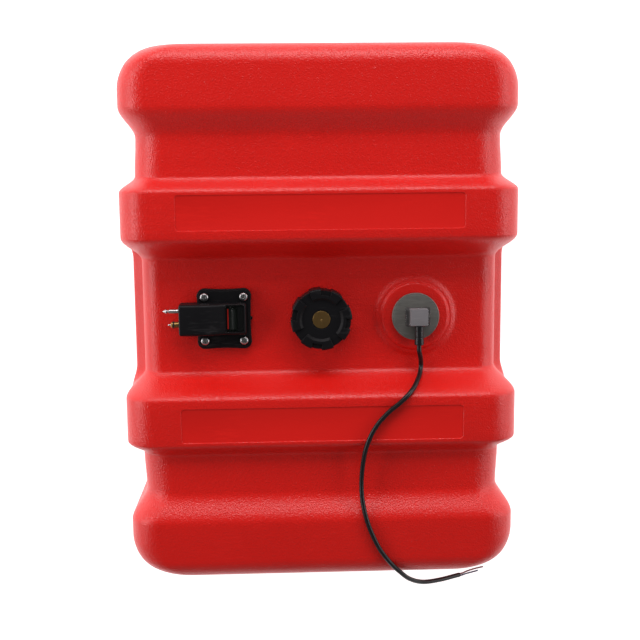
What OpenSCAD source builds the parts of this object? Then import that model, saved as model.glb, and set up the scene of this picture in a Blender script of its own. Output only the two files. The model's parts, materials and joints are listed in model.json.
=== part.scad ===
// Portable outboard fuel tank, lying on its base as it lies in a boat.
// Millimetres. The origin is on the floor under the middle of the tank,
// +Z points up through the filler cap and +Y runs along the tank.

/* [Tank shell] */
// Overall length
tank_l = 625; // [600:1:680]
// Overall width
tank_w = 464; // [440:1:500]
// Height of the bands above the floor
tank_h = 216; // [205:1:250]
// Thickness of the moulded wall
wall = 4; // [3:0.5:5]
// Radius of the upright corners, seen from above
corner_r = 51; // [40:1:56]
// Radius along the two long top edges
top_r = 36; // [30:1:40]
// Radius across each end, from the top face down
end_r = 24; // [18:1:30]
// Radius along the bottom edges
base_r = 18; // [12:1:22]

/* [Deck, bands and grooves] */
// Half the length of the deck's flat floor
deck_half = 65; // [60:1:68]
// Length of the slope from the deck up to an inner band
deck_slope = 30; // [26:1:34]
// Drop from the bands to the deck
deck_drop = 42; // [36:1:46]
// How far the deck's sides stand inside the bands
deck_inset = 20; // [14:1:24]
// How far the body below the deck stands inside the bands
shoulder_inset = 6; // [3:1:9]
// Height of the shoulder's lower edge above the floor
shoulder_z = 124; // [115:1:130]
// Height of the shoulder's slope
shoulder_h = 16; // [12:1:20]
// Length of an inner band's flat crown
band_len = 51; // [49:1:56]
// Length of a groove's slope on the inner band's side
groove_slope_in = 19; // [16:1:22]
// Length of a groove's flat floor
groove_floor = 43; // [38:1:46]
// Length of a groove's slope on the end band's side
groove_slope_out = 36; // [32:1:38]
// Depth of the grooves across the top
groove_drop = 16; // [12:1:18]
// Depth of the grooves down the sides
groove_inset = 17; // [13:1:20]
// How far the end bands' sides stand inside the inner bands'
end_band_inset = 2; // [0:0.5:4]

/* [Label panels] */
// Length of each sunk panel, across the tank
panel_l = 331; // [300:1:340]
// Width of each sunk panel
panel_w = 41; // [36:1:44]
// Depth of the panels
panel_d = 0.8; // [0.5:0.1:1.5]
// Corner radius of the panels
panel_r = 5; // [3:1:8]
// Distance of the panels from the outer edge of a band's crown
panel_edge = 1.9; // [1:0.1:3]

/* [Places of the fittings] */
// Middle of the row of fittings, along the tank
row_y = -2.5; // [-6:0.5:6]
// Distance of the gauge head's flange from the middle
gauge_x = 114; // [110:1:118]
// Distance of the level sender from the middle
sender_x = 112; // [108:1:116]

/* [Filler] */
// Bore of the filler neck
neck_bore = 45; // [42:1:47]
// Outside diameter of the filler neck
neck_d = 56; // [54:1:57]
// Height of the neck above the deck
neck_h = 20; // [18:0.5:22]
// Diameter of the cap over its grips
cap_d = 72; // [70:1:76]
// Height of the cap's skirt and top together
cap_h = 26; // [25:0.5:28]
// Gap between the cap's skirt and the deck
cap_gap = 2; // [1.5:0.5:3]
// Radial clearance between the cap and the neck
cap_clear = 0.6; // [0.4:0.1:0.8]
// Number of raised grips round the cap
grip_count = 4; // [3:1:6]
// Angle that each grip spans, in degrees
grip_span = 67; // [40:1:72]
// Height of the grips above the cap's sunk face
grip_h = 2.6; // [2:0.1:3.2]
// Inner radius of the grips
grip_inner_r = 25.5; // [24:0.5:27]
// Thickness of the cap's sealing ring
seal_t = 3; // [2:0.5:3.5]

/* [Cap vent] */
// Diameter of the brass disc in the cap's face
vent_disc_d = 20.6; // [19:0.2:23]
// Thickness of the brass disc
vent_disc_t = 1.6; // [1.2:0.1:2]
// Outside diameter of the vent's cage
cage_d = 23; // [21:0.5:25]
// Depth of the vent's cage below the cap's plate
cage_h = 17; // [15:0.5:19]

/* [Gauge head] */
// Size of the square flange across the tank
flange_x = 64; // [62:1:70]
// Size of the square flange along the tank
flange_y = 72; // [70:1:78]
// Thickness of the flange
flange_t = 6; // [5:0.5:7]
// Corner radius of the flange
flange_r = 9; // [7:0.5:11]
// Hollow of the flange's edges between the screws
flange_waist = 1; // [0.5:0.1:1.5]
// Screw spacing across the tank
screw_x = 46; // [44:1:48]
// Screw spacing along the tank
screw_y = 52; // [50:1:54]
// Thickness of the gaskets
gasket_t = 1.5; // [1:0.1:2]
// Diameter of the deck's opening under the gauge head
gauge_hole = 48; // [46:0.5:49]
// Length of the head's body across the tank
head_l = 78; // [76:1:82]
// Distance of the connector's face from the flange's middle
head_out = 52; // [50:1:54]
// Distance of the top slope's start from the flange's middle
slope_start = 17; // [15:1:19]
// Width of the head's body along the tank
head_w = 37; // [36:1:42]
// Height of the head's tall end above the deck
head_h = 27; // [26:0.5:30]
// Height of the head's window end above the deck
window_h = 21; // [20:0.5:22]
// Length of the window across the tank
window_x = 14; // [13.6:0.2:15]
// Length of the window along the tank
window_y = 31; // [30:0.5:32]
// Length of the red stripe on the drum
stripe_l = 23.8; // [20:0.2:24]

/* [Fuel connector] */
// Outside diameter of the brass fuel post
post_d = 7.6; // [7:0.1:8.4]
// How far the fuel post stands out of the head
post_out = 10; // [9:0.5:12]
// Distance of the fuel post from the row's middle
post_y = 5; // [4.5:0.5:7]
// Diameter of the steel guide pin
guide_d = 5; // [4.4:0.1:5.6]
// How far the guide pin stands out of the head
guide_out = 19; // [17:0.5:22]
// Distance of the guide pin from the row's middle
guide_y = 11; // [9:0.5:12]
// Height of both pins above the deck
pins_z = 16; // [14.5:0.5:16.5]
// Travel of the spring-loaded valve pin
valve_travel = 2.5; // [1.5:0.5:3]

/* [Pickup] */
// Outside diameter of the pickup tube
tube_d = 8; // [7:0.5:9]
// Bore of the pickup tube
tube_bore = 6; // [5:0.5:6.5]
// Diameter of the strainer on the tube's foot
strainer_d = 15; // [13:1:17]
// Height of the strainer
strainer_h = 22; // [18:1:26]
// Gap between the strainer and the tank's floor
strainer_gap = 1; // [0.5:0.5:3]

/* [Float arms] */
// Height of both float pivots above the floor
pivot_z = 87; // [84:1:90]
// Length of each float arm from pivot to float
arm_l = 76; // [70:1:78]
// Diameter of the arms' wire
wire_d = 2.4; // [2:0.2:3]
// Half of each arm's swing, in degrees
half_swing = 56; // [45:1:57]
// Diameter of the floats
float_d = 26; // [22:1:27]
// Length of the floats
float_l = 34; // [28:1:36]

/* [Sender] */
// Base diameter of the raised boss round the sender
boss_d = 96; // [92:1:100]
// Diameter of the boss's upper step
ridge_d = 79; // [76:1:82]
// Height of the boss's lower step
boss_h = 3; // [2:0.5:4]
// Height of the boss's upper step
ridge_h = 6; // [5:0.5:8]
// Diameter of the sender's disc
disc_d = 56; // [54:1:58]
// Thickness of the sender's disc
disc_t = 5; // [4:0.5:6]
// Diameter of the sender's opening
sender_hole = 42; // [41:0.5:43]
// Size of the capsule across the tank
capsule_x = 23; // [21:0.5:25]
// Size of the capsule along the tank
capsule_y = 22; // [20:0.5:24]
// Height of the capsule
capsule_h = 10; // [9:0.5:12]
// Pitch radius of the sender's two bevel gears
gear_r = 9; // [8.5:0.1:9.2]
// Teeth on each bevel gear
gear_teeth = 12; // [10:2:14]

/* [Lead] */
// Diameter of the sender's lead
lead_d = 5.6; // [5:0.1:6]
// Diameter of each insulated wire
core_d = 2; // [1.8:0.1:2.2]
// Length of the strain relief
relief_l = 22; // [20:1:24]

/* [Hidden] */
$fn = 48;
small_fn = 24;
// A cutter runs this far past what it cuts.
past = 1;
// Running clearance of a pin in its hole, on the radius.
run = 0.06;
// Gap between a loose piece and its seat.
loose = 0.3;

half_l = tank_l / 2;
half_w = tank_w / 2;
deck_z = tank_h - deck_drop;
ceiling_z = deck_z - wall;

// Stations along the tank, measured from its middle.
y_crown_a = deck_half + deck_slope;
y_crown_b = y_crown_a + band_len;
y_groove_a = y_crown_b + groove_slope_in;
y_groove_b = y_groove_a + groove_floor;
y_end_band = y_groove_b + groove_slope_out;
// The inner skin's slopes shift by this share of the wall, so that the
// wall keeps its thickness on them.
slope_shift = 0.6;

// The gauge head's own places.
gx = -gauge_x;
head_x0 = gx - head_out;
head_x1 = head_x0 + head_l;
head_y = row_y + 1;
flange_z = deck_z + gasket_t;
pin_z = deck_z + pins_z;
post_y0 = row_y - post_y;
guide_y0 = row_y + guide_y;
socket_l = 12;

// The indicator drum, its crank and the link to the float arm.
drum_x = gx + 9.6;
drum_z = deck_z + 11;
drum_r = 6.2;
drum_l = stripe_l + 0.8;
crank_r = 4.2;
crank_pin_r = 1;
eye_r = crank_pin_r + 1.1;
spindle_r = 1.2;
link_t = 1.4;
link_gap = 0.5;
link_y = head_y + 13.2;
drum_y0 = link_y - link_t / 2 - link_gap - drum_l;
drum_room_x = crank_r + eye_r + 0.4;
drum_room_y = link_y - head_y + link_t / 2 + 1;
lens_z = deck_z + window_h - 2.6;
lens_t = 1.4;
lens_y = head_y + 1;

// The bracket and the float arm under the gauge head.
pivot_r = 1.5;
frame_t = 3;
frame_w = 12;
frame_y1 = row_y;
hub_y0 = frame_y1 + 0.6;
hub_l = 9.2;
hub_y1 = hub_y0 + hub_l;
arm_y = hub_y0 + 4;
tube_x = gx - 8;
tube_y = row_y - 7;
tube_socket = 6;
passage_r = 2.4;
// Step in the post's bore that the valve's spring stands on, measured out
// of the head's face.
spring_seat = -6;

// The screws and their inserts.
insert_r = 3.5;
insert_l = 9;
screw_r = 2.45;
screw_hole_r = 2.8;
screw_head_r = 5;
screw_head_h = 3.4;

// The filler's own places.
cap_r = cap_d / 2;
cap_z0 = deck_z + cap_gap;
cap_top = cap_z0 + cap_h;
plate_z = deck_z + neck_h + seal_t;
face_z = cap_top - grip_h;
cage_r = cage_d / 2;
cage_z0 = plate_z - cage_h;
seat_z = cage_z0 + 2;
valve_t = 2;

// The sender's own places.
disc_z0 = deck_z + ridge_h + gasket_t;
disc_z1 = disc_z0 + disc_t;
spigot_l = 16;
spigot_bore_r = 15;
magnet_r = 7;
magnet_t = 4;
// Play of the magnet in its room under the head's thin middle.
magnet_play = 2;
thin_top = 2.4;
plug_t = 4;
shaft_r = 1.5;
stem_r = 6;
cheek_x = 13.5;
cheek_t = 3;
bridge_z = pivot_z + gear_r + 3.6;
bridge_t = 3;
capsule_mid_x = sender_x + 3;
capsule_y0 = row_y - capsule_y / 2;
relief_x = capsule_mid_x + 0.5;
relief_z = disc_z1 + 4.8;
arm_x = cheek_x + cheek_t + 2.6;

// The lead leaves the strain relief, falls to the deck and then lies over
// the bands until its end hangs over the tank's end.
lead_end_y = capsule_y0 - relief_l;
LEAD = [
  [relief_x, lead_end_y, relief_z],
  [relief_x, lead_end_y - 6, relief_z],
  [117.5, -50, 187],
  [119, -57.5, 181.5],
  [119, -65, 180.5],
  [116.5, -72.5, 188],
  [111, -79, 202],
  [106, -84, 211.5],
  [100, -89.5, 217.5],
  [93, -96, 219.8],
  [85.5, -102.5, 219.6],
  [77.5, -109, 219.4],
  [65, -122.5, 219.4],
  [55.5, -138, 219.8],
  [49.5, -155.5, 218],
  [46.3, -176.5, 213.3],
  [45, -197, 211.5],
  [45.8, -217, 213.5],
  [49.5, -236, 218],
  [56, -255.5, 219.5],
  [66, -276.3, 219.5],
  [78, -293, 219],
  [90, -307, 213.5],
  [104, -321.5, 202],
  [122, -332, 187],
  [144.5, -336, 172],
  [167.5, -336.5, 158.5],
  [172, -336.6, 156]
];
// Each wire leaves the end of the lead and bends away from the other.
lead_last = len(LEAD) - 1;
lead_way = (LEAD[lead_last] - LEAD[lead_last - 1]) / norm(LEAD[lead_last] - LEAD[lead_last - 1]);
wire_side = [0, core_d / 2 + 0.2, 0];
RED_WIRE = [
  LEAD[lead_last] + wire_side,
  LEAD[lead_last] + wire_side + 4 * lead_way,
  [183, -334.5, 149.5],
  [194, -333.6, 144],
  [205, -333.5, 139]
];
BLUE_WIRE = [
  LEAD[lead_last] - wire_side,
  LEAD[lead_last] - wire_side + 4 * lead_way,
  [182, -338.5, 148],
  [191, -339.4, 141],
  [199, -340, 135]
];

// ---------------------------------------------------------------- helpers

// Rises smoothly from 0 to 1 while t runs from 0 to 1.
function ease(t) = t <= 0 ? 0 : t >= 1 ? 1 : (1 - cos(180 * t)) / 2;

// How far a corner of radius r draws a face in, at a distance d from its end.
function drawn_in(d, r) = d >= r ? 0 : r - sqrt(r * r - (r - d) * (r - d));

// n places that start at a and stop short of b.
function span(a, b, n) = [for (i = [0:n - 1]) a + (b - a) * i / n];

// Places round a quarter circle of radius r that ends at a distance e.
function turned(e, r, n) = [for (i = [0:n]) e - r * (1 - sin(90 * i / n))];

// A slab with four round corners, standing on z = 0.
module rounded_slab(x, y, r, h) {
  translate([-x / 2 + r, -y / 2, 0]) cube([x - 2 * r, y, h]);
  translate([-x / 2, -y / 2 + r, 0]) cube([x, y - 2 * r, h]);
  for (sx = [-1, 1], sy = [-1, 1])
    translate([sx * (x / 2 - r), sy * (y / 2 - r), 0]) cylinder(r = r, h = h);
}

// A cylinder that lies along +X or along +Y from the origin.
module along_x(r, l) { rotate([0, 90, 0]) cylinder(r = r, h = l); }
module along_y(r, l) { rotate([-90, 0, 0]) cylinder(r = r, h = l); }

// A ring standing on z = 0.
module ring(outer, inner, h) {
  difference() {
    cylinder(r = outer, h = h);
    translate([0, 0, -past]) cylinder(r = inner, h = h + 2 * past);
  }
}

function unit(v) = v / norm(v);

// Points of a tube's skin: a ring of n points round each point of a path.
function tube_ring(p, dir, r, n) =
  let (
    side = unit(cross(dir, abs(dir.z) > 0.9 ? [0, 1, 0] : [0, 0, 1])),
    up = cross(side, dir)
  )
  [for (i = [0:n - 1]) p + r * (cos(360 * i / n) * side + sin(360 * i / n) * up)];

// Sweeps a round tube along the points of a path.
module tube(path, r, n) {
  last = len(path) - 1;
  skin = [
    for (i = [0:last])
      each tube_ring(path[i], unit(path[min(i + 1, last)] - path[max(i - 1, 0)]), r, n)
  ];
  walls = [
    for (i = [0:last - 1], j = [0:n - 1])
      let (a = i * n + j, b = i * n + (j + 1) % n)
      each [[a, b, a + n], [b, b + n, a + n]]
  ];
  ends = [[for (j = [n - 1:-1:0]) j], [for (j = [0:n - 1]) last * n + j]];
  polyhedron(points = skin, faces = concat(walls, ends));
}

// A point on a smooth curve through b and c, a share t of the way.
function curve(a, b, c, d, t) =
  0.5 * (2 * b + (c - a) * t + (2 * a - 5 * b + 4 * c - d) * t * t
    + (3 * b - a - 3 * c + d) * t * t * t);

// Path through the points: its first and last stretches are straight, and
// the others are smooth, with `steps` places each.
function smooth(p, steps) = [
  p[0],
  for (i = [1:len(p) - 3], k = [0:steps - 1]) curve(p[i - 1], p[i], p[i + 1], p[i + 2], k / steps),
  p[len(p) - 2],
  p[len(p) - 1]
];

// A compression spring: a wire wound round Z, standing on z = 0.
module coil(r, wire_r, h, turns) {
  steps = 8;
  tube([
    for (i = [0:turns * steps])
      [r * cos(360 * i / steps), r * sin(360 * i / steps), wire_r + (h - 2 * wire_r) * i / (turns * steps)]
  ], wire_r, 5);
}

// ------------------------------------------------------------- tank shell

// Shares of the deck, of the groove and of the end band in the section at y.
// t is how far the skin lies inside the outer one.
function deck_share(y, t) = 1 - ease((y - deck_half - slope_shift * t) / deck_slope);
function groove_share(y, t) =
  ease((y - y_crown_b + slope_shift * t) / groove_slope_in)
  * (1 - ease((y - y_groove_b - slope_shift * t) / groove_slope_out));
function end_share(y) = ease((y - y_groove_a) / groove_floor);

// Right half of the shell's section at a distance y from the middle, from
// the base up to the top.
function half_section(y, t, n) =
  let (
    deck = deck_share(y, t),
    groove = groove_share(y, t),
    d = half_l - t - y,
    side = half_w - t - drawn_in(d, corner_r - t) - groove_inset * groove - end_band_inset * end_share(y),
    low = side - shoulder_inset * deck,
    high = side - deck_inset * deck,
    base = t + drawn_in(d, base_r - t),
    top = tank_h - t - drawn_in(d, end_r - t) - groove_drop * groove - deck_drop * deck,
    rb = base_r - t,
    rt = top_r - t - (top_r - end_r) * deck
  )
  concat(
    [for (i = [0:n]) [low - rb * (1 - sin(90 * i / n)), base + rb * (1 - cos(90 * i / n))]],
    [for (i = [0:3]) [low + (high - low) * ease(i / 3), shoulder_z + shoulder_h * i / 3]],
    [for (i = [0:n + 3]) [high - rt * (1 - cos(90 * i / (n + 3))), top - rt * (1 - sin(90 * i / (n + 3)))]]
  );

// Stations on one half of the tank, finer where the skin curves.
function half_stations(t, n) = concat(
  span(deck_half + slope_shift * t, y_crown_a + slope_shift * t, n),
  [y_crown_a + slope_shift * t],
  span(y_crown_b - slope_shift * t, y_groove_a - slope_shift * t, n - 2),
  [y_groove_a - slope_shift * t],
  span(y_groove_b + slope_shift * t, y_end_band + slope_shift * t, n - 1),
  turned(half_l - t, corner_r - t, n + 2)
);

// The skin of the tank, t inside the outer one, lofted through its stations.
module skin(t, n) {
  half = half_stations(t, n);
  stations = concat([for (i = [len(half) - 1:-1:0]) -half[i]], half);
  rows = [
    for (y = stations)
      let (s = half_section(abs(y), t, n), last = len(s) - 1)
      concat(
        [for (p = s) [p.x, y, p.y]],
        [for (i = [last:-1:0]) [-s[i].x, y, s[i].y]]
      )
  ];
  m = len(rows[0]);
  k = len(rows) - 1;
  walls = [
    for (i = [0:k - 1], j = [0:m - 1])
      let (a = i * m + j, b = i * m + (j + 1) % m)
      each [[a, b, b + m], [a, b + m, a + m]]
  ];
  ends = [[for (j = [m - 1:-1:0]) j], [for (j = [0:m - 1]) k * m + j]];
  polyhedron(points = [for (r = rows) each r], faces = concat(walls, ends));
}

// Puts its children at the four screws of the gauge head.
module at_screws() {
  for (sx = [-1, 1], sy = [-1, 1])
    translate([gx + sx * screw_x / 2, row_y + sy * screw_y / 2, deck_z]) children();
}

// The raised boss round the sender: two rounded steps.
module sender_boss() {
  base = boss_d / 2;
  ridge = ridge_d / 2;
  translate([sender_x, row_y, deck_z]) rotate_extrude()
    polygon([
      [0, -wall / 2], [base + 1, -wall / 2], [base, 0.4], [base - 1, boss_h * 0.7], [base - 3, boss_h],
      [ridge + 1.5, boss_h + 0.3], [ridge, boss_h + 1.2], [ridge - 1, ridge_h - 0.6], [ridge - 3, ridge_h],
      [0, ridge_h]
    ]);
}

module filler_neck() {
  r = neck_d / 2;
  translate([0, row_y, deck_z - wall / 2]) rotate_extrude()
    polygon([
      [0, 0], [r + 4, 0], [r + 4, wall / 2], [r + 1.2, wall / 2 + 0.6], [r, wall / 2 + 1.8],
      [r, wall / 2 + neck_h - 1], [r - 1, wall / 2 + neck_h], [0, wall / 2 + neck_h]
    ]);
}

module label_panel(y) {
  translate([0, y, tank_h - panel_d]) rounded_slab(panel_l, panel_w, panel_r, panel_d + past);
}

module tank_body() {
  panel_y = y_crown_b - panel_edge - panel_w / 2;
  boss_r = insert_r + 3.5;
  color("firebrick") difference() {
    union() {
      skin(0, 6);
      sender_boss();
      filler_neck();
    }
    difference() {
      skin(wall, 4);
      at_screws() translate([0, 0, -insert_l - 2.5]) cylinder(r = boss_r, h = insert_l + wall);
    }
    translate([0, row_y, ceiling_z - past]) cylinder(d = neck_bore, h = wall + neck_h + 2 * past);
    translate([gx, row_y, ceiling_z - past]) cylinder(d = gauge_hole, h = wall + 2 * past);
    translate([sender_x, row_y, ceiling_z - past]) cylinder(d = sender_hole, h = wall + ridge_h + 2 * past);
    at_screws() translate([0, 0, -insert_l]) cylinder(r = insert_r, h = insert_l + past);
    label_panel(panel_y);
    label_panel(-panel_y);
  }
}

// ------------------------------------------------------------ gauge head

module threaded_inserts() {
  color("goldenrod") at_screws() translate([0, 0, -insert_l]) ring(insert_r, screw_r + run, insert_l);
}

// Screw with a round head and a cross recess, its seat at z = 0.
module pan_screw(l) {
  r = screw_head_r;
  h = screw_head_h;
  difference() {
    union() {
      rotate_extrude()
        polygon([[0, 0], [r, 0], [r, h * 0.4], [r * 0.86, h * 0.75], [r * 0.6, h * 0.95], [0, h]]);
      translate([0, 0, -l]) cylinder(r = screw_r, h = l + 0.1, $fn = small_fn);
    }
    for (a = [0, 90])
      rotate([0, 0, a]) translate([-r * 0.5, -0.6, h - 1.8]) cube([r, 1.2, 2 + past]);
  }
}

module flange_screws() {
  color("silver") at_screws() translate([0, 0, gasket_t + flange_t]) pan_screw(gasket_t + flange_t + 6);
}

// Outline of the flange and of its gasket: round corners, hollow edges.
module flange_plate(h, shrink) {
  x = flange_x - 2 * shrink;
  y = flange_y - 2 * shrink;
  // Radius of a shallow arc, `flange_waist` deep over a chord `c`.
  function arc_r(c) = (c * c / 4 + flange_waist * flange_waist) / (2 * flange_waist);
  rx = arc_r(x - 2 * flange_r);
  ry = arc_r(y - 2 * flange_r);
  difference() {
    rounded_slab(x, y, flange_r, h);
    for (s = [-1, 1]) {
      translate([0, s * (y / 2 + rx - flange_waist), -past]) cylinder(r = rx, h = h + 2 * past, $fn = 360);
      translate([s * (x / 2 + ry - flange_waist), 0, -past]) cylinder(r = ry, h = h + 2 * past, $fn = 360);
    }
  }
}

module flange_gasket() {
  color("dimgray") difference() {
    translate([gx, row_y, deck_z]) flange_plate(gasket_t, 1);
    translate([gx, row_y, deck_z - past]) cylinder(d = gauge_hole, h = gasket_t + 2 * past);
    at_screws() translate([0, 0, -past]) cylinder(r = screw_hole_r, h = gasket_t + 2 * past);
  }
}

// Side view of the head's body: tall connector end, slope, window end.
module head_block() {
  low = deck_z + 3;
  edge = 2;
  tall = deck_z + head_h;
  short = deck_z + window_h;
  foot_x = gx - flange_x / 2 + 2;
  intersection() {
    translate([0, head_y + head_w / 2, 0]) rotate([90, 0, 0]) linear_extrude(head_w)
      polygon([
        [head_x0, low], [head_x0, tall - edge], [head_x0 + edge, tall], [gx - slope_start, tall],
        [drum_x - window_x / 2 - 2, short], [head_x1 - edge, short], [head_x1, short - edge],
        [head_x1, flange_z + 1], [foot_x, flange_z + 1], [foot_x, low]
      ]);
    translate([head_x0 - past, head_y, deck_z]) rotate([90, 0, 90])
      linear_extrude(head_l + 2 * past) rounded_top(head_w, head_h, 4);
  }
}

// A flat shape w wide and h high, with its two top corners rounded.
module rounded_top(w, h, r) {
  translate([-w / 2, 0]) square([w, h - r]);
  translate([-w / 2 + r, h - r - 1]) square([w - 2 * r, r + 1]);
  for (s = [-1, 1]) translate([s * (w / 2 - r), h - r]) circle(r = r);
}

module gauge_housing() {
  spigot_r = gauge_hole / 2 - loose;
  floor_z = flange_z + 2.5;
  slot_x = drum_room_x + 0.6;
  socket_h = tube_socket + gasket_t + 0.5;
  passage_z = deck_z - tube_socket - past;
  color("#1c1c1c") difference() {
    union() {
      translate([gx, row_y, flange_z]) flange_plate(flange_t, 0);
      head_block();
      translate([gx, row_y, deck_z - tube_socket]) ring(spigot_r, spigot_r - 2.2, socket_h);
      // Small catch on the flange's edge.
      translate([gx + flange_x / 2 - flange_waist - 0.2, row_y, flange_z]) cylinder(r = 2.4, h = 4);
      translate([tube_x, tube_y, deck_z - tube_socket]) cylinder(d = tube_d + 4, h = socket_h);
    }
    at_screws() cylinder(r = screw_hole_r, h = flange_t + gasket_t + past);
    at_screws() translate([0, 0, flange_t + gasket_t]) cylinder(r = screw_head_r + loose, h = head_h);
    // Room for the indicator drum, its spindle and its link.
    translate([drum_x - drum_room_x, head_y - drum_room_y, floor_z])
      cube([2 * drum_room_x, 2 * drum_room_y, head_h]);
    translate([drum_x, head_y - drum_room_y - 1.8, drum_z]) along_y(spindle_r + run, 2 * drum_room_y + 3.6);
    translate([drum_x - slot_x, link_y - link_t / 2 - 0.6, flange_z - past])
      cube([slot_x + 1, link_t + 1.2, floor_z - flange_z + 2 * past]);
    // The sunk window frame that holds the lens.
    translate([drum_x, lens_y, lens_z]) rounded_slab(window_x + 2 * run, window_y + 2 * run, 2, head_h);
    // The fuel passage, from the post to the pickup tube.
    translate([head_x0 - past, post_y0, pin_z]) along_x(post_d / 2 - 1, past + socket_l);
    translate([head_x0, post_y0, pin_z]) along_x(passage_r, tube_x - head_x0);
    translate([tube_x, tube_y, passage_z]) cylinder(r = passage_r, h = pin_z - passage_z);
    translate([tube_x, tube_y, passage_z]) cylinder(d = tube_d, h = deck_z - passage_z);
    translate([head_x0 - past, guide_y0, pin_z]) along_x(guide_d / 2 - 0.6, past + socket_l);
  }
}

module gauge_lens() {
  color([0.25, 0.3, 0.25, 0.5])
    translate([drum_x, lens_y, lens_z]) rounded_slab(window_x, window_y, 2, lens_t);
}

// Brass post with a groove for its ring and a valve seat in its nose.
module fuel_post() {
  r = post_d / 2;
  translate([head_x0, post_y0, pin_z]) color("gold") rotate([0, -90, 0]) rotate_extrude()
    polygon([
      [r - 2.6, -socket_l], [r - 1, -socket_l], [r - 1, 0], [r, 0], [r, post_out - 4.2],
      [r - 0.8, post_out - 4.2], [r - 0.8, post_out - 2.6], [r, post_out - 2.6], [r, post_out - 1.4],
      [r - 1.4, post_out], [1.1, post_out], [1.1, post_out - 2.4], [r - 1.8, post_out - 3],
      [r - 1.8, spring_seat], [r - 2.6, spring_seat]
    ]);
}

module post_o_ring() {
  r = post_d / 2 - 0.1;
  translate([head_x0 - post_out + 3.4, post_y0, pin_z]) color("#111111")
    rotate([0, 90, 0]) rotate_extrude($fn = small_fn) translate([r, 0]) circle(r = 0.7, $fn = 16);
}

// Poppet that closes the post: its tip stands out and can be pushed in.
module valve_pin() {
  tip = post_out + valve_travel + 0.8;
  translate([head_x0, post_y0, pin_z]) color("silver") rotate([0, -90, 0]) rotate_extrude($fn = small_fn)
    polygon([
      [0, post_out - 6], [1.6, post_out - 6], [1.6, post_out - 3.1], [1, post_out - 2.8],
      [1, tip - 1], [0.4, tip], [0, tip]
    ]);
}

module valve_spring() {
  l = post_out - 6 - spring_seat;
  translate([head_x0 - spring_seat, post_y0, pin_z]) color("silver")
    rotate([0, -90, 0]) coil(1.5, 0.2, l, 6);
}

// Steel guide pin with a locking groove and a pointed nose.
module guide_pin() {
  r = guide_d / 2;
  translate([head_x0, guide_y0, pin_z]) color("lightslategray") rotate([0, -90, 0]) rotate_extrude()
    polygon([
      [0, -socket_l], [r - 0.6, -socket_l], [r - 0.6, 0], [r, 0], [r, guide_out - 7.4],
      [r - 0.8, guide_out - 6.8], [r - 0.8, guide_out - 5.4], [r, guide_out - 4.6], [r, guide_out - 3.8],
      [r - 1, guide_out - 2.4], [0.5, guide_out], [0, guide_out]
    ]);
}

module pickup_tube() {
  z0 = wall + strainer_gap + 4;
  color("white") translate([tube_x, tube_y, z0]) ring(tube_d / 2, tube_bore / 2, deck_z - z0);
}

// Slotted basket on the tube's foot.
module pickup_strainer() {
  r = strainer_d / 2;
  slots = 8;
  color("ivory") translate([tube_x, tube_y, wall + strainer_gap]) difference() {
    cylinder(r = r, h = strainer_h);
    translate([0, 0, 2]) cylinder(d = tube_d, h = strainer_h);
    for (i = [0:slots - 1])
      rotate([0, 0, i * 360 / slots]) translate([0, -0.9, 3]) cube([r + past, 1.8, strainer_h - 8]);
  }
}

// Bracket that carries the float's pivot under the head.
module gauge_frame() {
  foot = 8;
  color("gainsboro") difference() {
    union() {
      translate([drum_x - frame_w / 2, frame_y1 - frame_t, pivot_z])
        cube([frame_w, frame_t, flange_z - pivot_z]);
      translate([drum_x - frame_w / 2, frame_y1 - foot, flange_z - 2]) cube([frame_w, foot, 2]);
      translate([drum_x, frame_y1 - frame_t, pivot_z]) along_y(frame_w / 2, frame_t);
    }
    translate([drum_x, frame_y1 - frame_t - past, pivot_z]) along_y(pivot_r, frame_t + 2 * past);
  }
}

// Headed pin, pressed into the bracket; the float arm turns on it.
module gauge_pivot() {
  start_y = frame_y1 - frame_t;
  color("silver") translate([drum_x, 0, pivot_z]) {
    translate([0, start_y - 1.2, 0]) along_y(pivot_r + 1.2, 1.2);
    translate([0, start_y, 0]) along_y(pivot_r, hub_y1 + 0.4 - start_y);
  }
}

// Puts its children on the gauge's float arm, which points along -X when
// level and hangs at its lowest when the tank is empty.
module on_gauge_arm() {
  translate([drum_x, 0, pivot_z]) rotate([0, -half_swing, 0]) children();
}

module gauge_float_arm() {
  r = wire_d / 2;
  web = 1.6;
  color("silver") on_gauge_arm() difference() {
    union() {
      translate([0, hub_y0, 0]) along_y(pivot_r + 2, hub_l);
      translate([-arm_l, arm_y, 0]) along_x(r, arm_l - 1);
      translate([-arm_l, arm_y, 0]) sphere(r = r);
      translate([-arm_l, arm_y - float_l / 2 - 2, 0]) along_y(r, float_l + 4);
      // The crank that moves the link.
      translate([-crank_r, hub_y1 - web, 0]) along_y(eye_r, web);
      translate([-crank_r, hub_y1 - web, -web]) cube([crank_r, web, 2 * web]);
      translate([-crank_r, hub_y1 - 0.1, 0]) along_y(crank_pin_r, link_y + link_t / 2 + link_gap - hub_y1);
    }
    translate([0, hub_y0 - past, 0]) along_y(pivot_r + run, hub_l + 2 * past);
  }
}

// Round float with softened ends, standing on z = 0.
module float_body() {
  r = float_d / 2;
  l = float_l;
  rotate_extrude()
    polygon([[0, 0], [r - 2, 0], [r - 0.6, 0.6], [r, 2], [r, l - 2], [r - 0.6, l - 0.6], [r - 2, l], [0, l]]);
}

module gauge_float() {
  color("#2b2b2b") on_gauge_arm() translate([-arm_l, arm_y - float_l / 2, 0]) difference() {
    rotate([-90, 0, 0]) float_body();
    translate([0, -past, 0]) along_y(wire_d / 2, float_l + 2 * past);
    translate([0, float_l / 2, 0]) along_x(wire_d / 2, float_d);
  }
}

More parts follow.
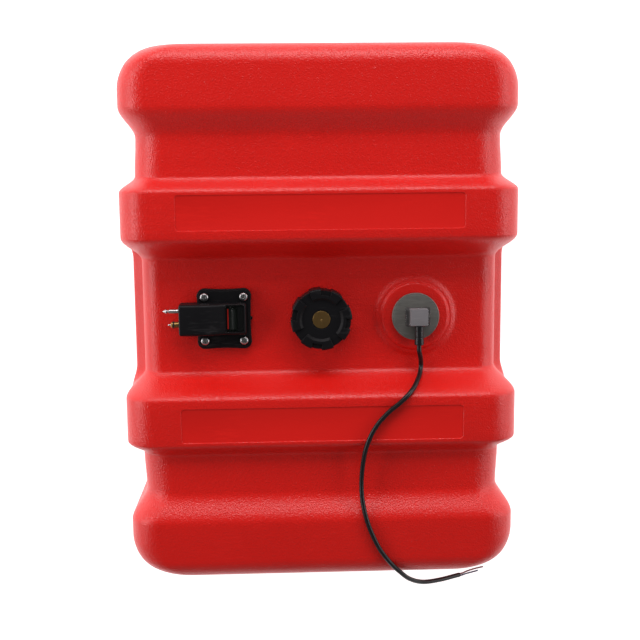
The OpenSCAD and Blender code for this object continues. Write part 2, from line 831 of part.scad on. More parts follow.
// Rod with an eye at each end; it keeps upright as both cranks turn.
module gauge_link() {
  l = drum_z - pivot_z;
  crank_dx = -crank_r * cos(half_swing);
  crank_dz = -crank_r * sin(half_swing);
  color("silver") translate([drum_x + crank_dx, link_y - link_t / 2, pivot_z + crank_dz]) difference() {
    union() {
      along_y(eye_r, link_t);
      translate([0, 0, l]) along_y(eye_r, link_t);
      translate([-link_t / 2, 0, 0]) cube([link_t, link_t, l]);
    }
    translate([0, -past, 0]) along_y(crank_pin_r + run, link_t + 2 * past);
    translate([0, -past, l]) along_y(crank_pin_r + 0.2, link_t + 2 * past);
  }
}

// Turns its children with the drum, whose top is its left when empty.
module drum_turned() {
  translate([drum_x, 0, drum_z]) rotate([0, -half_swing, 0]) children();
}

module indicator_drum() {
  spindle = drum_room_y + 1.4;
  color("#101512") drum_turned() difference() {
    union() {
      translate([0, drum_y0, 0]) along_y(drum_r, drum_l);
      translate([0, head_y - spindle, 0]) along_y(spindle_r, 2 * spindle);
      translate([-crank_r, drum_y0 + drum_l - 0.1, 0]) along_y(crank_pin_r, link_t + 2 * link_gap);
    }
    drum_strip(drum_r + past);
  }
}

// The stripe's place on the drum, out to a given radius.
module drum_strip(outer) {
  a = 16;
  inner = drum_r - 0.8;
  translate([0, drum_y0 + 0.4 + stripe_l, 0]) rotate([90, 0, 0]) rotate([0, 0, 90 - a / 2])
    rotate_extrude(angle = a) translate([inner, 0]) square([outer - inner, stripe_l]);
}

module indicator_stripe() {
  color("red") drum_turned() drum_strip(drum_r);
}

// ------------------------------------------------------------- filler cap

// Outline of the cap from above: a round body with raised grips.
module cap_outline(h) {
  cylinder(r = cap_r - 1.6, h = h, $fn = 96);
  for (i = [0:grip_count - 1]) grip(i, 0, cap_r, h);
}

// One grip as a sector between two radii.
module grip(i, inner, outer, h) {
  rotate([0, 0, 80 + i * 360 / grip_count - grip_span / 2])
    rotate_extrude(angle = grip_span, $fn = 96) translate([inner, 0]) square([outer - inner, h]);
}

module filler_cap() {
  skirt_r = neck_d / 2 + cap_clear;
  color("#181818") translate([0, row_y, 0]) difference() {
    union() {
      translate([0, 0, cap_z0]) cap_outline(face_z - cap_z0);
      for (i = [0:grip_count - 1])
        translate([0, 0, face_z - 1]) grip(i, grip_inner_r, cap_r, grip_h + 1);
    }
    // Chamfer round the top of the grips.
    translate([0, 0, cap_top]) rotate_extrude($fn = 96)
      polygon([[cap_r - 1.5, 0.1], [cap_r + 2, 0.1], [cap_r + 2, -3.6]]);
    translate([0, 0, cap_z0 - past]) cylinder(r = skirt_r, h = plate_z - cap_z0 + past);
    translate([0, 0, face_z - vent_disc_t + 0.5]) cylinder(d = vent_disc_d, h = vent_disc_t + past);
    translate([0, 0, plate_z - past]) cylinder(r = 6, h = cap_h);
    // A pocket in the middle of each grip.
    for (i = [0:grip_count - 1])
      rotate([0, 0, 80 + i * 360 / grip_count])
        translate([cap_r - 6.5, -4.5, cap_top - 2]) cube([3.4, 9, 2 + past]);
  }
}

module cap_seal() {
  color("#303030") translate([0, row_y, deck_z + neck_h]) ring(neck_d / 2 - 0.2, neck_bore / 2 - 1.5, seal_t);
}

module vent_disc() {
  r = vent_disc_d / 2;
  t = vent_disc_t;
  color("goldenrod") translate([0, row_y, face_z - t + 0.5]) rotate_extrude()
    polygon([[0, 0], [r, 0], [r, t - 0.4], [r - 0.4, t], [0.8, t], [0, t - 0.6]]);
}

// Cup under the cap that holds the vent's valve and spring.
module vent_cage() {
  color("#252525") translate([0, row_y, cage_z0]) difference() {
    cylinder(r = cage_r, h = cage_h);
    translate([0, 0, 2]) cylinder(r = cage_r - 1.8, h = cage_h);
    translate([0, 0, -past]) cylinder(r = 3.5, h = 4);
    for (i = [0:5]) rotate([0, 0, i * 60]) translate([cage_r - 4, -1.5, cage_h - 6]) cube([6, 3, 4]);
  }
}

module vent_valve() {
  color("#454545") translate([0, row_y, seat_z]) {
    cylinder(r = cage_r - 2.6, h = valve_t);
    translate([0, 0, valve_t - 0.1]) cylinder(r = 2, h = 5);
    translate([0, 0, -3.5]) cylinder(r = 2, h = 3.6);
  }
}

module vent_spring() {
  z0 = seat_z + valve_t;
  color("silver") translate([0, row_y, z0]) coil(6.8, 0.4, plate_z - z0, 4);
}

// ----------------------------------------------------------------- sender

module sender_gasket() {
  color("dimgray") translate([sender_x, row_y, deck_z + ridge_h])
    ring(disc_d / 2 - 1, sender_hole / 2 - 0.2, gasket_t);
}

// Die-cast head: a disc with a stepped rim over a hollow spigot.
module sender_head() {
  r = disc_d / 2;
  spigot = sender_hole / 2 - loose;
  color("#8c8c86") translate([sender_x, row_y, disc_z0]) difference() {
    rotate_extrude($fn = 96)
      polygon([
        [0, -spigot_l], [spigot, -spigot_l], [spigot, 0], [r, 0], [r, disc_t - 1], [r - 1, disc_t],
        [0, disc_t]
      ]);
    translate([0, 0, -spigot_l - past]) cylinder(r = spigot_bore_r, h = spigot_l + past);
    translate([0, 0, -past]) cylinder(r = magnet_r + magnet_play, h = past + disc_t - thin_top);
  }
}

// Frame under the head: a bored column and a fork for the arm's axle.
module sender_stem() {
  plug_z = disc_z0 - spigot_l;
  fork_w = 10;
  reach = cheek_x + cheek_t;
  color("gainsboro") translate([sender_x, row_y, 0]) difference() {
    union() {
      translate([0, 0, plug_z]) cylinder(r = spigot_bore_r, h = plug_t);
      translate([0, 0, bridge_z]) cylinder(r = stem_r, h = plug_z - bridge_z + 1);
      translate([-reach, -fork_w / 2, bridge_z]) cube([2 * reach, fork_w, bridge_t]);
      for (s = [-1, 1])
        translate([s * (cheek_x + cheek_t / 2) - cheek_t / 2, -fork_w / 2, pivot_z])
          cube([cheek_t, fork_w, bridge_z + bridge_t - pivot_z]);
      for (s = [-1, 1])
        translate([s * (cheek_x + cheek_t / 2) - cheek_t / 2, 0, pivot_z]) along_x(fork_w / 2, cheek_t);
    }
    translate([0, 0, bridge_z - past]) cylinder(r = shaft_r + run, h = plug_z - bridge_z + plug_t + 2 * past);
    translate([-reach - past, 0, pivot_z]) along_x(shaft_r + run, 2 * reach + 2 * past);
  }
}

// Puts its children on the sender's float arm, which points along +Y when
// level and hangs at its lowest when the tank is empty.
module on_sender_arm() {
  translate([sender_x, row_y, pivot_z]) rotate([-half_swing, 0, 0]) children();
}

module sender_axle() {
  start = -cheek_x - cheek_t - 1;
  color("silver") on_sender_arm() translate([start, 0, 0]) along_x(shaft_r, arm_x + 2 - start);
}

module sender_float_arm() {
  r = wire_d / 2;
  color("silver") on_sender_arm() difference() {
    union() {
      translate([arm_x - 2, 0, 0]) along_x(shaft_r + 2, 4);
      translate([arm_x, 1, 0]) along_y(r, arm_l - 1);
      translate([arm_x, arm_l, 0]) sphere(r = r);
      translate([arm_x - float_l - 4, arm_l, 0]) along_x(r, float_l + 4);
    }
    translate([arm_x - 2 - past, 0, 0]) along_x(shaft_r, 4 + 2 * past);
  }
}

module sender_float() {
  color("#2b2b2b") on_sender_arm() translate([arm_x - 2 - float_l, arm_l, 0]) difference() {
    rotate([0, 90, 0]) float_body();
    translate([-past, 0, 0]) along_x(wire_d / 2, float_l + 2 * past);
  }
}

// Bevel gear: its large face is at z = 0 and its apex at z = gear_r.
module bevel_gear() {
  face = 4;
  root = gear_r * 0.83;
  tip = gear_r * 1.13;
  step = 360 / gear_teeth;
  linear_extrude(height = face, scale = 1 - face / gear_r)
    polygon([
      for (i = [0:gear_teeth - 1], k = [0:3])
        let (a = i * step + [-0.27, -0.12, 0.12, 0.27][k] * step, r = [root, tip, tip, root][k])
        [r * cos(a), r * sin(a)]
    ]);
}

module sender_shaft_gear() {
  color("ivory") translate([sender_x, row_y, pivot_z + gear_r]) difference() {
    union() {
      mirror([0, 0, 1]) bevel_gear();
      cylinder(r = 4, h = 3);
    }
    translate([0, 0, -6]) cylinder(r = shaft_r, h = 12);
  }
}

module sender_arm_gear() {
  half_tooth = 180 / gear_teeth;
  color("ivory") translate([sender_x, row_y, pivot_z]) difference() {
    union() {
      translate([gear_r, 0, 0]) rotate([0, -90, 0]) rotate([0, 0, half_tooth]) bevel_gear();
      translate([gear_r, 0, 0]) along_x(4, cheek_x - gear_r - loose);
    }
    along_x(shaft_r, cheek_x);
  }
}

module sender_shaft() {
  z0 = pivot_z + gear_r - 4;
  color("silver") translate([sender_x, row_y, z0]) cylinder(r = shaft_r, h = disc_z0 - z0);
}

// Ring magnet with a flat step across one side of its top.
module sender_magnet() {
  flat = magnet_r * 0.6;
  color("#3a3a40") translate([sender_x, row_y, disc_z0 - magnet_t]) difference() {
    ring(magnet_r, shaft_r, magnet_t);
    translate([flat, -magnet_r, magnet_t - 1.5]) cube([magnet_r, 2 * magnet_r, 1.5 + past]);
  }
}

// Clip-on capsule: a block with a thin foot flange.
module sender_capsule() {
  foot = 1.6;
  color([0.6, 0.6, 0.62, 0.6]) translate([capsule_mid_x, row_y, disc_z1]) {
    rounded_slab(capsule_x + 5, capsule_y - 2, 2, foot);
    rounded_slab(capsule_x, capsule_y, 1.5, capsule_h);
  }
}

module strain_relief() {
  color("#151515") translate([relief_x, capsule_y0, relief_z]) rotate([90, 0, 0])
    cylinder(r1 = 4, r2 = 5, h = relief_l, $fn = small_fn);
}

module sender_lead() {
  color("#101010") tube(smooth(LEAD, 3), lead_d / 2, 8);
}

module lead_wire_red() { color("darkred") tube(RED_WIRE, core_d / 2, 8); }
module lead_wire_blue() { color("midnightblue") tube(BLUE_WIRE, core_d / 2, 8); }

tank_body();
threaded_inserts();
flange_gasket();
gauge_housing();
flange_screws();
gauge_lens();
fuel_post();
post_o_ring();
valve_pin();
valve_spring();
guide_pin();
pickup_tube();
pickup_strainer();
gauge_frame();
gauge_pivot();
gauge_float_arm();
gauge_float();
gauge_link();
indicator_drum();
indicator_stripe();
filler_cap();
cap_seal();
vent_disc();
vent_cage();
vent_valve();
vent_spring();
sender_gasket();
sender_head();
sender_stem();
sender_axle();
sender_float_arm();
sender_float();
sender_arm_gear();
sender_shaft();
sender_shaft_gear();
sender_magnet();
sender_capsule();
strain_relief();
sender_lead();
lead_wire_red();
lead_wire_blue();
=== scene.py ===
# %% [markdown]
# # A portable fuel tank for an outboard motor
#
# The tank is one hollow shell of red polyethylene, blown out against the walls
# of a mould. A black gauge head with the fuel connector, a vented filler cap
# and a level sender stand on its sunk deck. This notebook dresses the packed
# model: every size that it needs comes from the model's own pieces where it
# can, so that each new piece lies exactly where the plain one lay.

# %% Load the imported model
import bpy
import json
import math
from mathutils import Matrix, Vector


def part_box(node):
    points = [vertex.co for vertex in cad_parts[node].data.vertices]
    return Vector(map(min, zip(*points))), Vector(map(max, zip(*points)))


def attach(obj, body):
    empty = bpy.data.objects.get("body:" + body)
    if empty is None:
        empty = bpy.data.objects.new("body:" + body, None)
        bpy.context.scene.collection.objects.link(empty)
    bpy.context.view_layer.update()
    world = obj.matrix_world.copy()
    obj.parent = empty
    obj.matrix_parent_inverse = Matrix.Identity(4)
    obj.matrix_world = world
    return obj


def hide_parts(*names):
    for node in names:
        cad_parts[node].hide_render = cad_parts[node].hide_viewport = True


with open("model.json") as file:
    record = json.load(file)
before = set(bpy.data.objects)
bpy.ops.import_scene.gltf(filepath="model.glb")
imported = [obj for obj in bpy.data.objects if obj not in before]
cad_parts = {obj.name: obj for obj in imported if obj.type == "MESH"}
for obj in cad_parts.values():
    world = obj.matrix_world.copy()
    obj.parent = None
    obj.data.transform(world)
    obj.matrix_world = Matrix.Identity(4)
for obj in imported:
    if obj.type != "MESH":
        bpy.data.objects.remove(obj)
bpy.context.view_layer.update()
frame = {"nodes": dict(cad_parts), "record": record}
nodes = frame["nodes"]
print("pieces in the packed model:", len(nodes))

# %% [markdown]
# ## Camera
#
# The photograph was taken from almost straight above the deck. A lens could be
# set by eye, but then no edge would line up. The angles below were fitted to
# the tank's outline and to the middles of its fittings, so the picture can be
# laid over the photograph. The camera looks at the middle of the tank's top.

# %% Camera
MM = 0.001
IMAGE = 640
SENSOR = 36.0
CAMERA_TILT = math.radians(8.672)
CAMERA_YAW = math.radians(2.109)
CAMERA_ROLL = math.radians(0.883)
CAMERA_DISTANCE = 1229.73
FOCAL_PIXELS = 1068.98
AXIS_PIXEL = (322.03, 319.69)


def make_camera():
    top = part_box("tank_body")[1].z
    right = Vector((1, 0, 0))
    down = Vector((0, -math.sin(CAMERA_TILT), -math.cos(CAMERA_TILT)))
    up = Vector((0, math.cos(CAMERA_TILT), -math.sin(CAMERA_TILT)))
    view = down * math.cos(CAMERA_YAW) + right * math.sin(CAMERA_YAW)
    side = right * math.cos(CAMERA_YAW) - down * math.sin(CAMERA_YAW)
    axis_x = side * math.cos(CAMERA_ROLL) - up * math.sin(CAMERA_ROLL)
    axis_y = side * math.sin(CAMERA_ROLL) + up * math.cos(CAMERA_ROLL)
    place = Vector((0, 0, top)) - view * CAMERA_DISTANCE * MM
    camera = bpy.data.objects.new("camera", bpy.data.cameras.new("camera"))
    turn = Matrix((axis_x, axis_y, -view)).transposed().to_4x4()
    camera.matrix_world = Matrix.Translation(place) @ turn
    camera.data.sensor_width = SENSOR
    camera.data.lens = FOCAL_PIXELS / IMAGE * SENSOR
    camera.data.shift_x = (IMAGE / 2 - AXIS_PIXEL[0]) / IMAGE
    camera.data.shift_y = (AXIS_PIXEL[1] - IMAGE / 2) / IMAGE
    bpy.context.scene.collection.objects.link(camera)
    bpy.context.scene.camera = camera
    return camera


camera = make_camera()
print("camera", [round(c, 3) for c in camera.location], "lens", round(camera.data.lens, 2))

# %% [markdown]
# ## Floor, world and lights
#
# The photograph is a studio picture on pure white. Its light comes from the
# sides: the long rounded edges and the slopes that face the far end carry wide
# pale highlights, while the flat tops, which mirror the space above, stay deep
# red. So the world is bright low down and dim overhead, and large soft panels
# stand to the left, to the right and beyond the far end.

# %% Floor and world
FLOOR_SIZE = 12.0
FLOOR_GREY, FLOOR_ROUGHNESS, FLOOR_GLOW = 0.9, 0.9, 0.8
SKY_STOPS = ((0.25, 1.0), (0.8, 0.25))  # height on the sky, brightness there
SKY_STRENGTH = 0.42


def make_floor():
    mesh = bpy.data.meshes.new("floor")
    h = FLOOR_SIZE / 2
    corners = [(-h, -h, 0), (h, -h, 0), (h, h, 0), (-h, h, 0)]
    mesh.from_pydata(corners, [], [(0, 1, 2, 3)])
    floor = bpy.data.objects.new("floor", mesh)
    bpy.context.scene.collection.objects.link(floor)
    material = bpy.data.materials.new("floor_white")
    material.use_nodes = True
    paint = material.node_tree.nodes["Principled BSDF"]
    for label, value in (
        ("Base Color", (FLOOR_GREY, FLOOR_GREY, FLOOR_GREY, 1)), ("Roughness", FLOOR_ROUGHNESS),
        ("Specular IOR Level", 0.0), ("Emission Color", (1, 1, 1, 1)),
        ("Emission Strength", FLOOR_GLOW),
    ):
        paint.inputs[label].default_value = value
    mesh.materials.append(material)


def make_world():
    world = bpy.data.worlds.new("studio")
    world.use_nodes = True
    tree = world.node_tree
    tree.nodes.clear()
    coords = tree.nodes.new("ShaderNodeTexCoord")
    split = tree.nodes.new("ShaderNodeSeparateXYZ")
    ramp = tree.nodes.new("ShaderNodeValToRGB")
    sky = tree.nodes.new("ShaderNodeBackground")
    out = tree.nodes.new("ShaderNodeOutputWorld")
    for stop, (height, grey) in zip(ramp.color_ramp.elements, SKY_STOPS):
        stop.position = height
        stop.color = (grey, grey, grey, 1)
    sky.inputs["Strength"].default_value = SKY_STRENGTH
    tree.links.new(coords.outputs["Generated"], split.inputs[0])
    tree.links.new(split.outputs["Z"], ramp.inputs[0])
    tree.links.new(ramp.outputs["Color"], sky.inputs["Color"])
    tree.links.new(sky.outputs[0], out.inputs["Surface"])
    bpy.context.scene.world = world


make_floor()
make_world()
bpy.context.scene.view_settings.view_transform = "Standard"
print("floor", FLOOR_SIZE, "m square")

# %% Soft panels
PANEL_LIGHT = (0.99, 0.94, 0.96)
AIM = Vector((0, 0, 0.1))


def soft_panel(name, place, size, power):
    data = bpy.data.lights.new(name, "AREA")
    data.shape = "RECTANGLE"
    data.size, data.size_y = size
    data.energy = power
    data.color = PANEL_LIGHT
    lamp = bpy.data.objects.new(name, data)
    lamp.location = place
    lamp.rotation_euler = (AIM - Vector(place)).to_track_quat("-Z", "Y").to_euler()
    bpy.context.scene.collection.objects.link(lamp)
    return lamp


panels = [  # place and size in metres, power in watts
    soft_panel("panel_left", (-1.5, 0.2, 0.8), (1.6, 0.6), 15),
    soft_panel("panel_right", (1.5, 0.2, 0.8), (1.6, 0.6), 11),
    soft_panel("panel_far", (0.0, 1.6, 1.05), (1.8, 0.7), 23),
]
print("lights:", [lamp.name for lamp in panels])

# %% [markdown]
# ## The sender's lead
#
# A round two-core lead leaves the sender through a tapered sleeve, drops to the
# deck, climbs over one band, dips into the groove behind it, crosses the end
# band and falls over the tank's end. It could be simulated, but it is short and
# stiff enough that points listed over the bands give the same lie. The
# points are joined by one smooth curve, and the curve is given its thickness.
# The picture shows the lead end to end, so its length is the real one.

# %% Route of the lead, in millimetres
LEAD = [
    (115.5, -35.5, 191.3), (115.5, -41.5, 191.3), (117.5, -50, 187), (119, -57.5, 181.5),
    (119, -65, 180.5), (116.5, -72.5, 188), (111, -79, 202), (106, -84, 211.5),
    (100, -89.5, 217.5), (93, -96, 219.8), (85.5, -102.5, 219.6), (77.5, -109, 219.4),
    (65, -122.5, 219.4), (55.5, -138, 219.8), (49.5, -155.5, 218), (46.3, -176.5, 213.3),
    (45, -197, 211.5), (45.8, -217, 213.5), (49.5, -236, 218), (56, -255.5, 219.5),
    (66, -276.3, 219.5), (78, -293, 219), (90, -307, 213.5), (104, -321.5, 202),
    (122, -332, 187), (144.5, -336, 172), (167.5, -336.5, 158.5), (172, -336.6, 156),
]
LEAD_D = 5.6
WIRE_D = 2.0
HALF_GAP = 0.2  # half the gap between the two wires
WIRE_STRAIGHT = 4  # how far they run straight on from the lead's end
lead_points = [Vector(p) for p in LEAD]
lead_way = (lead_points[-1] - lead_points[-2]).normalized()
wire_side = Vector((0, WIRE_D / 2 + HALF_GAP, 0))


def wire_route(side, rest):
    start = lead_points[-1] + side
    return [start, start + WIRE_STRAIGHT * lead_way] + [Vector(p) for p in rest]


red_route = wire_route(
    wire_side, [(183, -334.5, 149.5), (194, -333.6, 144), (205, -333.5, 139)])
blue_route = wire_route(
    -wire_side, [(182, -338.5, 148), (191, -339.4, 141), (199, -340, 135)])


# %% Make a cord from its points
def cord_curve(name, route, diameter):
    """A Bezier curve through the route; the radius of its points is its thickness."""
    data = bpy.data.curves.new(name, "CURVE")
    data.dimensions = "3D"
    data.bevel_depth = 1.0
    data.bevel_resolution = 6
    data.resolution_u = 10
    data.use_fill_caps = True
    spline = data.splines.new("BEZIER")
    spline.bezier_points.add(len(route) - 1)
    last = len(route) - 1
    for i, (point, at) in enumerate(zip(spline.bezier_points, route)):
        before, after = route[max(i - 1, 0)], route[min(i + 1, last)]
        way = (after - before) / (6 if 0 < i < last else 3)  # a third of one stretch
        if i == 1:
            way = (route[1] - route[0]).normalized() * way.length
        point.handle_left_type = point.handle_right_type = "FREE"
        point.co = at * MM
        point.radius = diameter / 2 * MM
        point.handle_left = (at - way) * MM
        point.handle_right = (at + way) * MM
    cord = bpy.data.objects.new(name, data)
    bpy.context.scene.collection.objects.link(cord)
    return cord


def route_length(route):
    return sum((b - a).length for a, b in zip(route, route[1:])) * MM


lead = cord_curve("lead", lead_points, LEAD_D)
red_core = cord_curve("red_core", red_route, WIRE_D)
blue_core = cord_curve("blue_core", blue_route, WIRE_D)
for cord, node, route, diameter in (
    (lead, "sender_lead", lead_points, LEAD_D),
    (red_core, "lead_wire_red", red_route, WIRE_D),
    (blue_core, "lead_wire_blue", blue_route, WIRE_D),
):
    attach(cord, "tank")
    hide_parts(node)
    print(cord.name, "is", round(route_length(route), 3), "m long")

# %% [markdown]
# ## Tools for making meshes
#
# Most pieces here are turned, lofted or cut, as the real ones are. A few short
# helpers make those forms from a handful of sizes: a turned form is a profile
# carried round an axis, a slab is one outline at several heights, and a cut is
# a Boolean of two closed meshes. The Manifold solver suits this, because each
# form is watertight, and it keeps thousands of faces quick to cut.

# %% Mesh helpers
def mesh_piece(name, points, faces):
    """A closed mesh from points in millimetres, with its faces turned outward."""
    mesh = bpy.data.meshes.new(name)
    mesh.from_pydata([tuple(Vector(p) * MM) for p in points], [], faces)
    mesh.validate()
    if sum(face.area * face.normal.dot(face.center) for face in mesh.polygons) < 0:
        mesh.flip_normals()
    piece = bpy.data.objects.new(name, mesh)
    bpy.context.scene.collection.objects.link(piece)
    return piece


def shade(piece, angle=35):
    mesh = piece.data
    mesh.polygons.foreach_set("use_smooth", [True] * len(mesh.polygons))
    mesh.set_sharp_from_angle(angle=math.radians(angle))
    return piece


def combine(target, tool, operation="DIFFERENCE"):
    """Cuts the tool out of the target, or joins it to it; the tool is used up."""
    change = target.modifiers.new("change", "BOOLEAN")
    change.solver = "MANIFOLD"
    change.operation = operation
    change.object = tool
    graph = bpy.context.evaluated_depsgraph_get()
    result = bpy.data.meshes.new_from_object(target.evaluated_get(graph))
    target.modifiers.clear()
    target.data = result
    bpy.data.objects.remove(tool)


def join(name, parts):
    points, faces = [], []
    for part in parts:
        first = len(points)
        points += [v.co / MM for v in part.data.vertices]
        faces += [[first + i for i in face.vertices] for face in part.data.polygons]
        bpy.data.objects.remove(part)
    return mesh_piece(name, points, faces)


# %% Turned forms
NEAR_HALF = 0.49  # a corner takes less than half of the edges beside it
ON_AXIS = 1e-6


def rounded(profile, steps=4):
    """Corners of a profile given as (r, z, corner radius) become small curves."""
    line = []
    for i, (r, z, c) in enumerate(profile):
        here = Vector((r, z))
        if c == 0 or i in (0, len(profile) - 1):
            line.append(here)
            continue
        before, after = Vector(profile[i - 1][:2]), Vector(profile[i + 1][:2])
        a = here + (before - here).normalized() * min(c, (before - here).length * NEAR_HALF)
        b = here + (after - here).normalized() * min(c, (after - here).length * NEAR_HALF)
        for k in range(steps + 1):
            t = k / steps
            line.append(a * (1 - t) ** 2 + here * 2 * t * (1 - t) + b * t * t)
    return line


def turned(name, line, place, axis=(0, 0, 1), steps=96, closed=False):
    """The line of (radius, height) carried round an axis through a place."""
    turn = Vector((0, 0, 1)).rotation_difference(Vector(axis)).to_matrix()
    points, rings, faces = [], [], []
    for r, z in line:
        count = steps if r > ON_AXIS else 1
        rings.append((len(points), count))
        for j in range(count):
            a = 2 * math.pi * j / steps
            spot = Vector((r * math.cos(a), r * math.sin(a), z))
            points.append(turn @ spot + Vector(place))
    pairs = list(zip(rings, rings[1:]))
    if closed:
        pairs.append((rings[-1], rings[0]))
    for (a, count_a), (b, count_b) in pairs:
        for j in range(steps):
            k = (j + 1) % steps
            if count_a == 1 and count_b > 1:
                faces.append((a, b + k, b + j))
            elif count_b == 1 and count_a > 1:
                faces.append((a + j, a + k, b))
            elif count_a > 1:
                faces.append((a + j, a + k, b + k, b + j))
    return mesh_piece(name, points, faces)


# %% Lofts and slabs
LEAST_R = 0.1


def loft(name, rows):
    """Closed rows of points, one after the other, with a flat face at each end."""
    m = len(rows[0])
    points = [p for row in rows for p in row]
    faces = []
    for i in range(len(rows) - 1):
        for j in range(m):
            k = (j + 1) % m
            faces.append((i * m + j, i * m + k, (i + 1) * m + k, (i + 1) * m + j))
    last = (len(rows) - 1) * m
    faces.append(tuple(range(m - 1, -1, -1)))
    faces.append(tuple(last + j for j in range(m)))
    return mesh_piece(name, points, faces)


def round_box(x, y, r, inset, arc):
    """Outline of a box with round corners, seen from above, counter-clockwise."""
    hx, hy, r = x / 2 - inset, y / 2 - inset, max(r - inset, LEAST_R)
    line = []
    for cx, cy, start in ((1, 1, 0), (-1, 1, 90), (-1, -1, 180), (1, -1, 270)):
        for k in range(arc + 1):
            a = math.radians(start + 90 * k / arc)
            line.append((cx * (hx - r) + r * math.cos(a), cy * (hy - r) + r * math.sin(a)))
    return line


def boxed(x, y, r, arc):
    """The same outline as a function of its inset alone, for a slab."""
    return lambda inset: round_box(x, y, r, inset, arc)


def slab(name, outline, levels, place):
    """outline(inset) at each (height, inset) of levels, lofted upward."""
    px, py, pz = place
    rows = [[(px + x, py + y, pz + z) for x, y in outline(inset)] for z, inset in levels]
    return loft(name, rows)


def soft_levels(h, top, steps=4):
    """Heights and insets of a slab of height h whose upper edge is rounded."""
    turns = [math.radians(90 * k / steps) for k in range(steps + 1)]
    return [(0, 0)] + [(h - top + top * math.sin(a), top * (1 - math.cos(a))) for a in turns]


def ease(t):
    """A smooth step from nought at 0 to one at 1."""
    t = min(max(t, 0.0), 1.0)
    return (1 - math.cos(math.pi * t)) / 2


print("mesh helpers are ready")

# %% [markdown]
# ## Effects that several finishes share
#
# A moulded part has a fine grain, a machined part has turning marks, and every
# handled part has faint scuffs. Each effect is a node group with its own named
# values, so that one recipe serves many materials at different scales. The
# groups give heights, tones and masks only; each material feeds them into its
# own shader, where its gloss and its colour are set.

# %% Helpers for nodes
FROM_MIN, FROM_MAX, TO_MIN, TO_MAX = 1, 2, 3, 4  # sockets of a map range
MIX_A, MIX_B, MIX_OUT = 6, 7, 2  # sockets of a colour mix


def add(tree, kind, inputs=None, **settings):
    """A node; an input is a value, or a socket that is linked to it."""
    made = tree.nodes.new("ShaderNode" + kind)
    for key, value in settings.items():
        setattr(made, key, value)
    for key, value in (inputs or {}).items():
        if isinstance(value, bpy.types.NodeSocket):
            tree.links.new(value, made.inputs[key])
        else:
            made.inputs[key].default_value = value
    return made


def maths(tree, operation, *values):
    return add(tree, "Math", dict(enumerate(values)), operation=operation).outputs[0]


def new_group(name, inputs, outputs):
    group = bpy.data.node_groups.new(name, "ShaderNodeTree")
    for label, value in inputs.items():
        kind = "NodeSocketVector" if isinstance(value, tuple) else "NodeSocketFloat"
        socket = group.interface.new_socket(name=label, in_out="INPUT", socket_type=kind)
        socket.default_value = value
    for label in outputs:
        group.interface.new_socket(name=label, in_out="OUTPUT", socket_type="NodeSocketFloat")
    given = group.nodes.new("NodeGroupInput").outputs
    return group, given, group.nodes.new("NodeGroupOutput").inputs


# %% Moulded grain
PATCHES_PER_BUMP, DOME_TOP, TONES_PER_METRE = 0.45, 0.8, 9.0


def moulded_grain():
    """Small rounded bumps, as a spark-eroded mould leaves them, and a slow change of tone."""
    group, given, out = new_group(
        "moulded_grain", {"Bumps per metre": 600.0}, ["Height", "Tone"])
    place = add(group, "TexCoord").outputs["Object"]
    per_metre = given["Bumps per metre"]
    bumps = add(group, "TexVoronoi", {"Vector": place, "Scale": per_metre}, feature="SMOOTH_F1")
    wider = maths(group, "MULTIPLY", per_metre, PATCHES_PER_BUMP)
    patches = add(group, "TexNoise", {"Vector": place, "Scale": wider, "Detail": 2.0})
    dome = maths(group, "SUBTRACT", DOME_TOP, bumps.outputs["Distance"])
    height = maths(group, "MULTIPLY", dome, patches.outputs["Fac"])
    tone = add(group, "TexNoise", {"Vector": place, "Scale": TONES_PER_METRE, "Detail": 3.0})
    group.links.new(height, out["Height"])
    group.links.new(tone.outputs["Fac"], out["Tone"])
    return group


# %% Turning marks
CAST_TONES_PER_METRE = 120.0


def turning_marks():
    """Fine rings round a centre, as a lathe tool or a turned mould leaves them."""
    group, given, out = new_group(
        "turning_marks", {"Centre": (0.0, 0.0, 0.0), "Rings per metre": 2500.0},
        ["Height", "Tone"])
    place = add(group, "TexCoord").outputs["Object"]
    away = add(group, "VectorMath", {0: place, 1: given["Centre"]}, operation="SUBTRACT")
    length = add(group, "VectorMath", {0: away.outputs[0]}, operation="LENGTH")
    rings = maths(group, "MULTIPLY", length.outputs["Value"], given["Rings per metre"])
    wave = add(
        group, "TexNoise", {"W": rings, "Scale": 1.0, "Detail": 2.0}, noise_dimensions="1D")
    slow = add(
        group, "TexNoise", {"Vector": place, "Scale": CAST_TONES_PER_METRE, "Detail": 3.0})
    group.links.new(wave.outputs["Fac"], out["Height"])
    group.links.new(slow.outputs["Fac"], out["Tone"])
    return group


# %% Handling marks
MARKS_TURN, MARKS_STRETCH = (0.3, 0.2, 0.6), (1.0, 7.0, 2.0)
MARKED_PLACES_PER_METRE, FAINTEST, STRONGEST = 14.0, 0.30, 0.42


def handling_marks():
    """Short faint scuffs: a stretched noise, kept only where another noise is high."""
    group, given, out = new_group("handling_marks", {"Marks per metre": 60.0}, ["Mask"])
    place = add(group, "TexCoord").outputs["Object"]
    turn = add(
        group, "Mapping", {"Vector": place, "Rotation": MARKS_TURN, "Scale": MARKS_STRETCH})
    streaks = add(
        group, "TexNoise",
        {"Vector": turn.outputs[0], "Scale": given["Marks per metre"], "Detail": 4.0})
    where = add(
        group, "TexNoise", {"Vector": place, "Scale": MARKED_PLACES_PER_METRE, "Detail": 2.0})
    both = maths(group, "MULTIPLY", streaks.outputs["Fac"], where.outputs["Fac"])
    mask = add(group, "MapRange", {
        0: both, FROM_MIN: FAINTEST, FROM_MAX: STRONGEST, TO_MIN: 0.0, TO_MAX: 1.0})
    group.links.new(mask.outputs[0], out["Mask"])
    return group


GRAIN = moulded_grain()
TURNED = turning_marks()
MARKS = handling_marks()
print("node groups:", GRAIN.name, TURNED.name, MARKS.name)

